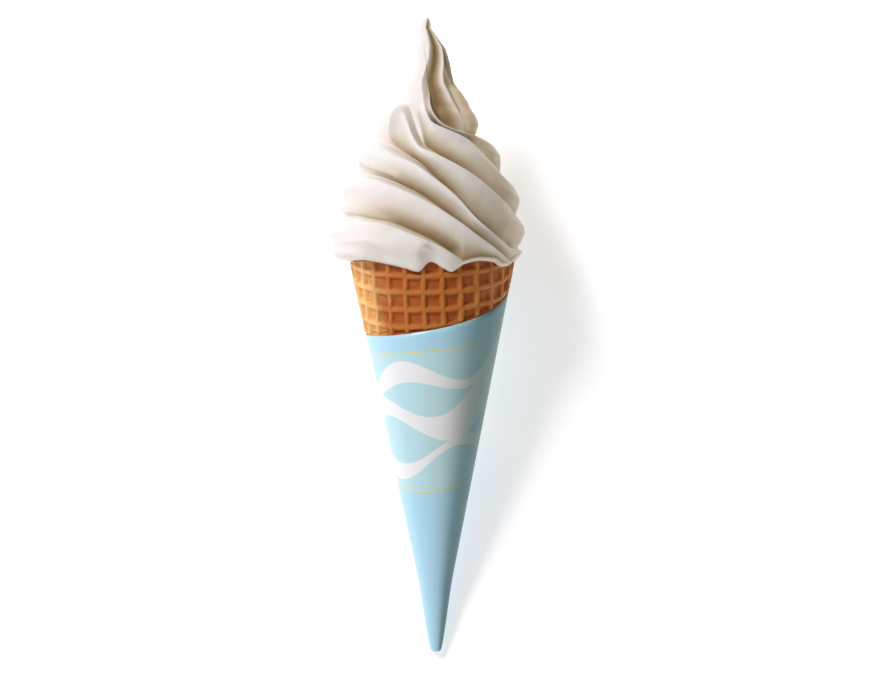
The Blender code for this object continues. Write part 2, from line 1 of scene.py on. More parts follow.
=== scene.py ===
"""Soft-serve ice cream cone, lying on a pale floor with its shown side up.

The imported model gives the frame. Three pieces dress it: the piped swirl, the rolled wafer with its
baked grid, and the printed paper sleeve. All sizes are in metres.
"""

import logging
import math
from collections.abc import Iterable, Sequence
from dataclasses import dataclass, field
from enum import Enum
from functools import cached_property

import bmesh
import bpy
import numpy as np
from mathutils import Matrix, Vector, noise

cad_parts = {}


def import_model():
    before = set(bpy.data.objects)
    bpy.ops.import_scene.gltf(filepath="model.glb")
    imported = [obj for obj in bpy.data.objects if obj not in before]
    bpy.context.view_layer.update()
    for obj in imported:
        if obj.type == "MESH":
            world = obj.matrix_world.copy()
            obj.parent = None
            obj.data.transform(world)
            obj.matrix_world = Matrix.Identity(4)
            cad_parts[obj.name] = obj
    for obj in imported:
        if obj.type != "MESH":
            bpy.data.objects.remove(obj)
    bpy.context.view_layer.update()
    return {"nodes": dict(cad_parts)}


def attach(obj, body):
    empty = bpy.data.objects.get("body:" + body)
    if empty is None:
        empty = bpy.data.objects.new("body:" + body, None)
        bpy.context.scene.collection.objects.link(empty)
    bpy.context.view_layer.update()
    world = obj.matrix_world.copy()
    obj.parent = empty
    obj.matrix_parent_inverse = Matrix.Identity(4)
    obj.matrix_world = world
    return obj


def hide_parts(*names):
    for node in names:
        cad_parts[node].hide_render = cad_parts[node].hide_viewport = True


log = logging.getLogger("ice_cream_cone")

Array = np.ndarray
Socket = bpy.types.NodeSocket
Colour = tuple[float, float, float]
Span = tuple[float, float]
Row = tuple[float, ...]
Table = tuple[Row, ...]
Face = tuple[int, ...]

TINY = 1e-6


def smoothstep(value: Array | float) -> Array:
    """Ease from 0 to 1.

    Args:
        value: where between the ends, below 0 and above 1 being held.

    Returns:
        The eased value.
    """
    held = np.clip(value, 0.0, 1.0)
    return held * held * (3.0 - 2.0 * held)


def rise(value: Array | float, span: Span) -> Array:
    """Ease from 0 at the start of a span to 1 at its end.

    Args:
        value: where to read it.
        span: start and end.

    Returns:
        The eased value.
    """
    start, end = span
    return smoothstep((value - start) / (end - start))


# Shape of the cone


def smooth_through(place: Array | float, places: Sequence[float], values: Sequence[float]) -> Array:
    """Read a smooth curve through given points, which never swings past them.

    Args:
        place: where to read it.
        places: rising places of the given points.
        values: the value at each of them.

    Returns:
        The curve's value at each place.
    """
    known, height = np.asarray(places, float), np.asarray(values, float)
    steps = np.diff(known)
    slopes = np.diff(height) / steps
    before, after = slopes[:-1], slopes[1:]
    near, far = 2 * steps[1:] + steps[:-1], steps[1:] + 2 * steps[:-1]
    turning = before * after <= 0
    inverse = near / np.where(turning, 1.0, before) + far / np.where(turning, 1.0, after)
    inner = np.where(turning, 0.0, (near + far) / np.where(turning, 1.0, inverse))
    slope = np.concatenate([slopes[:1], inner, slopes[-1:]])
    span = np.clip(np.searchsorted(known, place, "right") - 1, 0, len(steps) - 1)
    along = np.clip((place - known[span]) / steps[span], 0.0, 1.0)
    rest = 1.0 - along
    return (
        height[span] * rest**2 * (1 + 2 * along)
        + height[span + 1] * along**2 * (3 - 2 * along)
        + steps[span] * along * rest * (slope[span] * rest - slope[span + 1] * along)
    )


@dataclass(frozen=True)
class LyingCone:
    """The cone that all three pieces share, and how it lies on the floor."""

    half_angle: float = math.radians(11.57)
    rim_at: float = 0.13956
    lean: float = 0.0085
    lie_angle: float = math.radians(12.12)
    middle_across: float = -0.00181
    middle_along: float = 0.11165
    tip_at: float = 0.0040
    tip_round: float = 0.0014
    tip_swell: float = 0.0010
    swell_from: float = 0.0060
    swell_over: float = 0.0260
    lift_samples: int = 200

    @property
    def rim_radius(self) -> float:
        """Radius of the cone's mouth."""
        return self.rim_at * math.tan(self.half_angle)

    @property
    def along_axis(self) -> Vector:
        """Direction of the cone's axis, from its tip to the swirl."""
        return Vector((0.0, math.cos(self.lie_angle), math.sin(self.lie_angle)))

    @property
    def toward_viewer(self) -> Vector:
        """Direction that the shown side faces."""
        return Vector((0.0, -math.sin(self.lie_angle), math.cos(self.lie_angle)))

    def tip_width(self, along: Array) -> Array:
        """How much wider than the cone the sleeve is near its blunt tip."""
        return self.tip_swell * (1.0 - smoothstep((along - self.swell_from) / self.swell_over))

    def tip_offset(self, along: Array) -> Array:
        """How far the sleeve's outside stands off from the cone near its tip, with its end rounded.

        Args:
            along: heights up the axis.

        Returns:
            The distance at each height.
        """
        before = 1.0 - np.clip((along - self.tip_at) / self.tip_round, 0.0, 1.0)
        rounding = self.tip_round * (1.0 - np.sqrt(1.0 - before**2))
        return (self.tip_width(along) - rounding) * math.cos(self.half_angle)

    @cached_property
    def lift(self) -> float:
        """How far the cone is raised so that its tip rests on the floor.

        Returns:
            The distance.
        """
        along = np.linspace(self.tip_at, self.tip_at + self.swell_over, self.lift_samples)
        radius = along * math.tan(self.half_angle) + self.tip_offset(along) / math.cos(self.half_angle)
        return float(np.max(radius * math.cos(self.lie_angle) - along * math.sin(self.lie_angle)))

    def place(self, across: Array, along: Array, front: Array) -> Array:
        """Turn a place on the upright cone into one on the lying cone.

        Args:
            across: distance to the right of the axis.
            along: distance up the axis from the point where the sides would meet.
            front: distance from the axis toward the shown side.

        Returns:
            Points with X, Y and Z last.
        """
        turn_cos, turn_sin = math.cos(self.lie_angle), math.sin(self.lie_angle)
        return np.stack(
            [
                across + self.lean * np.maximum(0.0, self.rim_at - along) - self.middle_across,
                along * turn_cos - front * turn_sin - self.middle_along,
                along * turn_sin + front * turn_cos + self.lift,
            ],
            axis=-1,
        )

    def ring(self, angle: Array, along: Array, offset: Array) -> Array:
        """Points round the cone at a height, moved out square to its side.

        Args:
            angle: angles from the shown side, positive to the right.
            along: height of each point up the axis.
            offset: distance outside the cone's side.

        Returns:
            Points with X, Y and Z last.
        """
        radius = along * math.tan(self.half_angle) + offset / math.cos(self.half_angle)
        return self.place(radius * np.sin(angle), along, radius * np.cos(angle))

    def flat(self, angle: Array, along: Array, turn: float) -> tuple[Array, Array]:
        """Where a place on the cone lies on the flat sheet that it was rolled from.

        Args:
            angle: angles from the shown side.
            along: heights up the axis.
            turn: how far the sheet's own upright direction is turned from the shown side.

        Returns:
            Distance across the sheet and up it.
        """
        slant = along / math.cos(self.half_angle)
        flat_turn = angle * math.sin(self.half_angle) - turn
        return slant * np.sin(flat_turn), slant * np.cos(flat_turn)


CONE = LyingCone()


# Mesh helpers


def mesh_object(name: str, points: Array, faces: Sequence[Sequence[int]]) -> bpy.types.Object:
    """Make a smooth closed mesh object with outward faces.

    Args:
        name: the object's name.
        points: its points.
        faces: corner numbers of each face.

    Returns:
        The object, linked to the scene.
    """
    mesh = bpy.data.meshes.new(name)
    mesh.from_pydata([tuple(p) for p in points], [], faces)
    shaped = bmesh.new()
    shaped.from_mesh(mesh)
    bmesh.ops.recalc_face_normals(shaped, faces=shaped.faces)
    shaped.to_mesh(mesh)
    shaped.free()
    mesh.polygons.foreach_set("use_smooth", [True] * len(mesh.polygons))
    made = bpy.data.objects.new(name, mesh)
    bpy.context.scene.collection.objects.link(made)
    return made


def ring_faces(rows: int, count: int) -> list[Face]:
    """Faces of a stack of rings, each closed on itself, without its two ends.

    Args:
        rows: number of rings.
        count: points in each ring.

    Returns:
        Four corner numbers for each face.
    """
    faces = []
    for row in range(rows - 1):
        low, high = row * count, (row + 1) * count
        for column in range(count):
            beside = (column + 1) % count
            faces.append((low + column, low + beside, high + beside, high + column))
    return faces


def capped(rings: Array) -> tuple[Array, list[Face]]:
    """Close a stack of rings with a point in the middle of its first and last ring.

    Args:
        rings: array of rings, points and coordinates.

    Returns:
        All points, and the faces.
    """
    rows, count = rings.shape[0], rings.shape[1]
    faces = ring_faces(rows, count)
    points = [rings.reshape(-1, 3)]
    for number, end in enumerate((0, rows - 1)):
        middle = rows * count + number
        points.append(rings[end].mean(axis=0)[None])
        for column in range(count):
            faces.append((middle, end * count + column, end * count + (column + 1) % count))
    return np.concatenate(points), faces


def with_middles(values: Array | Sequence[Array], middle: float = 0.0) -> Array:
    """Add a value for each of the two middle points that close a stack of rings.

    Args:
        values: values of the rings' own points.
        middle: value of the middle points.

    Returns:
        All the values in one row.
    """
    return np.concatenate([np.ravel(values), [middle, middle]])


def point_values(made: bpy.types.Object, name: str, values: Array) -> None:
    """Store one number for each point of a mesh.

    Args:
        made: the object.
        name: the attribute's name.
        values: the numbers, in the points' order.
    """
    layer = made.data.attributes.new(name, "FLOAT", "POINT")
    layer.data.foreach_set("value", np.ascontiguousarray(values, np.float32))


def corner_map(made: bpy.types.Object, name: str, across: Array, up: Array) -> None:
    """Store a flat place for each point as the mesh's UV map.

    Args:
        made: the object.
        name: the map's name.
        across: first coordinate of each point.
        up: second coordinate of each point.
    """
    layer = made.data.uv_layers.new(name=name)
    corners = np.empty(len(made.data.loops), np.int32)
    made.data.loops.foreach_get("vertex_index", corners)
    flat = np.stack([across[corners], up[corners]], axis=1)
    layer.data.foreach_set("uv", flat.astype(np.float32).ravel())


def wobble(points: Array, size: float, seed: float) -> Array:
    """Smooth bumps that are the same on each run.

    Args:
        points: places to read them at.
        size: distance over which they change.
        seed: shift that gives another pattern.

    Returns:
        A value from about -1 to 1 for each point.
    """
    shift = Vector((seed, 2.3 * seed, -seed))
    bumps = [noise.noise(Vector(point) / size + shift) for point in points.reshape(-1, 3)]
    return np.array(bumps).reshape(points.shape[:-1])


# Node helpers


class Recipe:
    """A node tree under construction, for a material or for geometry."""

    def __init__(self, tree: bpy.types.NodeTree) -> None:
        """Start on a tree, which keeps the nodes that it already has."""
        self.tree = tree

    def add(
        self, kind: str, inputs: dict[str | int, object] | None = None, **settings: object
    ) -> bpy.types.Node:
        """Add a node.

        Args:
            kind: Blender's name for it.
            inputs: values or output sockets for its inputs, by name or number.
            settings: its own properties.

        Returns:
            The node.
        """
        made = self.tree.nodes.new(kind)
        for name, value in settings.items():
            setattr(made, name, value)
        for name, value in (inputs or {}).items():
            self.feed(made, name, value)
        return made

    def feed(self, made: bpy.types.Node, name: str | int, value: object) -> None:
        """Give one input of a node a value or a link.

        Args:
            made: the node.
            name: the input's name or number.
            value: an output socket to link, or the value.
        """
        if isinstance(value, Socket):
            self.tree.links.new(value, made.inputs[name])
        else:
            made.inputs[name].default_value = value

    def sum(self, how: str, *values: object) -> Socket:
        """Work out one number.

        Args:
            how: the operation of a Math node.
            values: its inputs, numbers or sockets.

        Returns:
            The result's socket.
        """
        return self.add("ShaderNodeMath", dict(enumerate(values)), operation=how).outputs[0]

    def eased(self, value: object, span: Span, start: float = 0.0, end: float = 1.0) -> Socket:
        """Ease a number from one value to another.

        Args:
            value: the number's socket.
            span: where the result starts to change, and where it has changed.
            start: result before the span.
            end: result after it.

        Returns:
            The result's socket.
        """
        inputs = {0: value, 1: span[0], 2: span[1], 3: start, 4: end}
        return self.add("ShaderNodeMapRange", inputs, interpolation_type="SMOOTHSTEP").outputs[0]

    def noise(self, place: Socket, scale: float, detail: float, roughness: float = 0.5) -> Socket:
        """Read smooth noise.

        Args:
            place: where to read it.
            scale: waves to the metre.
            detail: how many finer waves are added.
            roughness: how strong they are.

        Returns:
            The socket of a number from 0 to 1.
        """
        inputs = {"Vector": place, "Scale": scale, "Detail": detail, "Roughness": roughness}
        return self.add("ShaderNodeTexNoise", inputs).outputs[0]

    def place(self) -> Socket:
        """Place on the piece."""
        return self.add("ShaderNodeTexCoord").outputs["Object"]

    def flat_place(self, name: str) -> Socket:
        """Place on one of the mesh's UV maps."""
        return self.add("ShaderNodeUVMap", uv_map=name).outputs[0]

    def held(self, name: str) -> Socket:
        """Number that each point of the mesh holds."""
        return self.add("ShaderNodeAttribute", attribute_name=name).outputs["Fac"]

    def bump(self, shader: bpy.types.Node, height: Socket, strength: float, distance: float) -> None:
        """Give a shader a fine relief.

        Args:
            shader: the shader.
            height: the relief's socket, from 0 to 1.
            strength: how much of it shows.
            distance: how high it is.
        """
        made = self.add("ShaderNodeBump", {"Height": height, "Strength": strength, "Distance": distance})
        self.feed(shader, "Normal", made.outputs[0])

    def blend(self, share: object, first: object, second: object, how: str = "MIX") -> Socket:
        """Blend two colours.

        Args:
            share: how much of the second, as a number or socket.
            first: colour or socket.
            second: colour or socket.
            how: the kind of blend.

        Returns:
            The blended colour's socket.
        """
        made = self.add("ShaderNodeMix", data_type="RGBA", blend_type=how)
        self.feed(made, 0, share)
        for number, colour in ((6, first), (7, second)):
            self.feed(made, number, colour if isinstance(colour, Socket) else (*colour, 1.0))
        return made.outputs[2]


def new_material(name: str) -> tuple[bpy.types.Material, Recipe, bpy.types.Node]:
    """Start a material.

    Args:
        name: the material's name.

    Returns:
        The material, its recipe and its shader.
    """
    material = bpy.data.materials.new(name)
    material.use_nodes = True
    return material, Recipe(material.node_tree), material.node_tree.nodes["Principled BSDF"]


# Finishes


@dataclass(frozen=True)
class CreamFinish:
    """Frozen dairy cream: white and soft, with painted shade: a warm tint on its side away from the light,
    and darker, warmer colours in its folds.
    """

    colour: Colour = (0.88, 0.86, 0.84)
    patch_colour: Colour = (0.87, 0.83, 0.78)
    # Painted shade: warm tint for the side turned away from the light.
    side_shade_colour: Colour = (0.73, 0.58, 0.33)
    # Painted shade in the folds: a mid colour, a deep one in the creases, and the spans of the fold share
    # where each comes in.
    fold_shade_colour: Colour = (0.74, 0.665, 0.53)
    crease_shade_colour: Colour = (0.31, 0.205, 0.088)
    fold_shade_span: Span = (0.03, 0.50)
    creases: Span = (0.28, 0.98)
    patch_scale: float = 90.0
    streak_scale: Row = (260.0, 900.0, 1.0)
    streak_share: float = 0.6
    grain_size: float = 0.0011
    relief_strength: float = 0.42
    relief_height: float = 0.0005
    roughness: float = 0.48
    refraction: float = 1.38

    def make(self) -> bpy.types.Material:
        """Build the material.

        Returns:
            The material.
        """
        material, recipe, shader = new_material("cream")
        place = recipe.place()
        cream = recipe.blend(recipe.noise(place, self.patch_scale, 3.0), self.colour, self.patch_colour)
        # Painted shade: warm tint on the side away from the light.
        cream = recipe.blend(recipe.held("cream_side_shade"), cream, self.side_shade_colour)
        # Painted shade: darker, warmer colour deeper in the folds and creases.
        fold_shade = recipe.held("fold_shade")
        cream = recipe.blend(recipe.eased(fold_shade, self.fold_shade_span), cream, self.fold_shade_colour)
        cream = recipe.blend(recipe.eased(fold_shade, self.creases), cream, self.crease_shade_colour)
        recipe.feed(shader, "Base Color", cream)
        stretch = {"Vector": recipe.flat_place("flow"), "Scale": self.streak_scale}
        streaks = recipe.noise(recipe.add("ShaderNodeMapping", stretch).outputs[0], 1.0, 3.0)
        grain = recipe.noise(place, 1.0 / self.grain_size, 2.0)
        fine = recipe.sum("MULTIPLY", grain, 1.0 - self.streak_share)
        relief = recipe.sum("MULTIPLY_ADD", streaks, self.streak_share, fine)
        recipe.bump(shader, relief, self.relief_strength, self.relief_height)
        shader.inputs["Roughness"].default_value = self.roughness
        shader.inputs["IOR"].default_value = self.refraction
        return material


@dataclass(frozen=True)
class WaferFinish:
    """Baked wafer: golden ribs and deeper orange-brown cells, with a sugary crumb; painted light and shade
    make it paler on the lit left and deeper on the shaded side, on top of uneven baking, and darker in the
    pressed-in cells.
    """

    # Pale colours for the lit left and baked ones for the shaded side: partly uneven baking, partly painted
    # light and shade.
    pale_rib: Colour = (0.97, 0.61, 0.23)
    pale_cell: Colour = (0.86, 0.42, 0.13)
    baked_rib: Colour = (0.55, 0.185, 0.030)
    baked_cell: Colour = (0.45, 0.105, 0.011)
    dark_colour: Colour = (0.38, 0.080, 0.010)
    sugar: Colour = (0.93, 0.66, 0.36)
    patch_scale: float = 150.0
    patch_share: float = 0.9
    dark_patches: Span = (0.52, 0.80)
    dark_share: float = 0.5
    crumb_scale: float = 1700.0
    crumb_roughness: float = 0.65
    sugar_crumbs: Span = (0.53, 0.66)
    sugar_share: float = 0.75
    sugar_when_baked: float = 0.12
    relief_strength: float = 0.7
    relief_height: float = 0.0004
    roughness: float = 0.55
    gloss: float = 0.28
    sink_share: float = 0.25
    sink_colour: Colour = (1.0, 0.30, 0.10)
    sink_depth: float = 0.0016

    def make(self) -> bpy.types.Material:
        """Build the material.

        Returns:
            The material.
        """
        material, recipe, shader = new_material("wafer")
        place = recipe.place()
        patches = recipe.noise(place, self.patch_scale, 4.0)
        crumb = recipe.noise(place, self.crumb_scale, 3.0, self.crumb_roughness)
        patchy = recipe.sum("SUBTRACT", patches, 0.5)
        # Random browning patches on top of painted light and shade by angle.
        uneven = recipe.sum("MULTIPLY_ADD", patchy, self.patch_share, recipe.held("browning_and_shade"))
        browning_and_painted_shade = recipe.eased(uneven, (0.0, 1.0))
        rib = recipe.blend(browning_and_painted_shade, self.pale_rib, self.baked_rib)
        cell = recipe.blend(browning_and_painted_shade, self.pale_cell, self.baked_cell)
        # Cells take the darker colour: partly the wafer's own tone, partly painted shade in the pressed-in
        # recesses.
        baked = recipe.blend(recipe.held("relief"), cell, rib)
        dark = recipe.eased(patches, self.dark_patches, 0.0, self.dark_share)
        baked = recipe.blend(dark, baked, self.dark_colour)
        crumbs = recipe.eased(crumb, self.sugar_crumbs, 0.0, self.sugar_share)
        left = recipe.eased(browning_and_painted_shade, (0.0, 1.0), 1.0, self.sugar_when_baked)
        sugar = recipe.sum("MULTIPLY", crumbs, left)
        recipe.feed(shader, "Base Color", recipe.blend(sugar, baked, self.sugar))
        recipe.bump(shader, crumb, self.relief_strength, self.relief_height)
        shader.inputs["Roughness"].default_value = self.roughness
        shader.inputs["Specular IOR Level"].default_value = self.gloss
        shader.inputs["Subsurface Weight"].default_value = self.sink_share
        shader.inputs["Subsurface Radius"].default_value = self.sink_colour
        shader.inputs["Subsurface Scale"].default_value = self.sink_depth
        return material


@dataclass(frozen=True)
class Ribbon:
    """A soft wavy band printed on the sleeve, or a wavy line, placed on its flat blank."""

    middle: float
    swing: float
    wave: float
    start: float
    half_width: float = 0.0
    swell: float = 0.0


@dataclass(frozen=True)
class PaperFinish:
    """Coated printed paper: light blue ground, an aqua field between thin yellow lines, white ribbons, and
    painted shade darkening the print on its side away from the light.
    """

    ground: Colour = (0.47, 0.81, 1.0)
    field_colour: Colour = (0.54, 0.84, 0.92)
    white: Colour = (0.92, 0.96, 1.0)
    yellow: Colour = (0.90, 0.76, 0.22)
    # Painted shade: multiplies the print darker on the side away from the light.
    sleeve_shade_colour: Colour = (0.14, 0.285, 0.285)
    cut_paper: Colour = (0.80, 0.80, 0.78)
    field_top: Ribbon = Ribbon(0.1075, 0.0022, 0.110, 1.2)
    field_bottom: Ribbon = Ribbon(0.0640, 0.0040, 0.090, 3.6)
    ribbons: tuple[Ribbon, ...] = (
        Ribbon(0.0990, 0.0042, 0.046, 0.4, 0.0026, 0.0012),
        Ribbon(0.0865, 0.0050, 0.050, 2.1, 0.0046, 0.0020),
        Ribbon(0.0722, 0.0036, 0.042, 4.4, 0.0024, 0.0012),
    )
    swell_rate: float = 0.85
    swell_start: float = 2.0
    line_width: float = 0.00042
    print_edge: float = 0.00006
    fibre_scale: float = 2600.0
    relief_strength: float = 0.05
    relief_height: float = 0.0001
    roughness: float = 0.42
    coat: float = 0.30
    coat_roughness: float = 0.20

    def _wave(self, recipe: Recipe, across: Socket, ribbon: Ribbon) -> Socket:
        """Height of a ribbon's middle at a place across the blank."""
        turn = recipe.sum("MULTIPLY_ADD", across, 2 * math.pi / ribbon.wave, ribbon.start)
        return recipe.sum("MULTIPLY_ADD", recipe.sum("SINE", turn), ribbon.swing, ribbon.middle)

    def _width(self, recipe: Recipe, across: Socket, ribbon: Ribbon) -> Socket:
        """Half width of a ribbon at a place across the blank.

        Args:
            recipe: the material's recipe.
            across: distance across the blank.
            ribbon: the ribbon.

        Returns:
            The half width's socket.
        """
        rate = 2 * math.pi * self.swell_rate / ribbon.wave
        turn = recipe.sum("MULTIPLY_ADD", across, rate, ribbon.start * self.swell_start)
        return recipe.sum("MULTIPLY_ADD", recipe.sum("SINE", turn), ribbon.swell, ribbon.half_width)

    def _inside(self, recipe: Recipe, distance: Socket, half_width: object) -> Socket:
        """1 where a distance is within a half width, with an edge as sharp as print."""
        over = recipe.sum("SUBTRACT", recipe.sum("ABSOLUTE", distance), half_width)
        return recipe.eased(over, (-self.print_edge, self.print_edge), 1.0, 0.0)

    def make(self) -> bpy.types.Material:
        """Build the material.

        Returns:
            The material.
        """
        material, recipe, shader = new_material("printed_paper")
        flat = recipe.flat_place("blank")
        across, up, _ = recipe.add("ShaderNodeSeparateXYZ", {0: flat}).outputs
        top = self._wave(recipe, across, self.field_top)
        bottom = self._wave(recipe, across, self.field_bottom)
        below_top = recipe.sum("GREATER_THAN", top, up)
        in_field = recipe.sum("MULTIPLY", below_top, recipe.sum("GREATER_THAN", up, bottom))
        colour = recipe.blend(in_field, self.ground, self.field_colour)
        for ribbon in self.ribbons:
            distance = recipe.sum("SUBTRACT", up, self._wave(recipe, across, ribbon))
            inside = self._inside(recipe, distance, self._width(recipe, across, ribbon))
            colour = recipe.blend(recipe.sum("MULTIPLY", inside, in_field), colour, self.white)
        for edge in (top, bottom):
            line = self._inside(recipe, recipe.sum("SUBTRACT", up, edge), self.line_width / 2)
            colour = recipe.blend(line, colour, self.yellow)
        # Painted shade darkening the print on the side away from the light.
        colour = recipe.blend(recipe.held("sleeve_side_shade"), colour, self.sleeve_shade_colour, "MULTIPLY")
        recipe.feed(shader, "Base Color", recipe.blend(recipe.held("cut_edge"), colour, self.cut_paper))
        fibre = recipe.noise(flat, self.fibre_scale, 2.0)
        recipe.bump(shader, fibre, self.relief_strength, self.relief_height)
        shader.inputs["Roughness"].default_value = self.roughness
        shader.inputs["Coat Weight"].default_value = self.coat
        shader.inputs["Coat Roughness"].default_value = self.coat_roughness
        return material


# Soft serve


class Side(Enum):
    """A side of the upright cone, as the viewer sees it."""

    LEFT = -1
    RIGHT = 1


@dataclass(frozen=True)
class Level:
    """One line of points round the swirl."""

    radius: Array
    height: Array
    flow: float
    # Share of painted shade in the folds.
    fold_shade: Array


@dataclass(frozen=True)
class Ridge:
    """A second, softer ridge on a coil: degrees from the front, and its heights there in millimetres."""

    angles: Row
    heights: Row
    lift: float
    half_width: float
    fade_in: float = 25.0
    fade_out: float = 16.0
    curve: float = 1.7

    def rises(self, angle: Array, height: Array) -> Array:
        """How far the ridge raises the surface.

        Args:
            angle: angles from the front, in radians.
            height: heights up the axis.

        Returns:
            The rise at each place.
        """
        turned = np.degrees(angle)
        line = smooth_through(turned, self.angles, self.heights) / 1000
        fade_in = smoothstep((turned - self.angles[0]) / self.fade_in)
        fade_out = smoothstep((self.angles[-1] - turned) / self.fade_out)
        beside = np.clip(1.0 - np.abs(height - line) / self.half_width, 0.0, 1.0)
        return self.lift * fade_in * fade_out * beside**self.curve


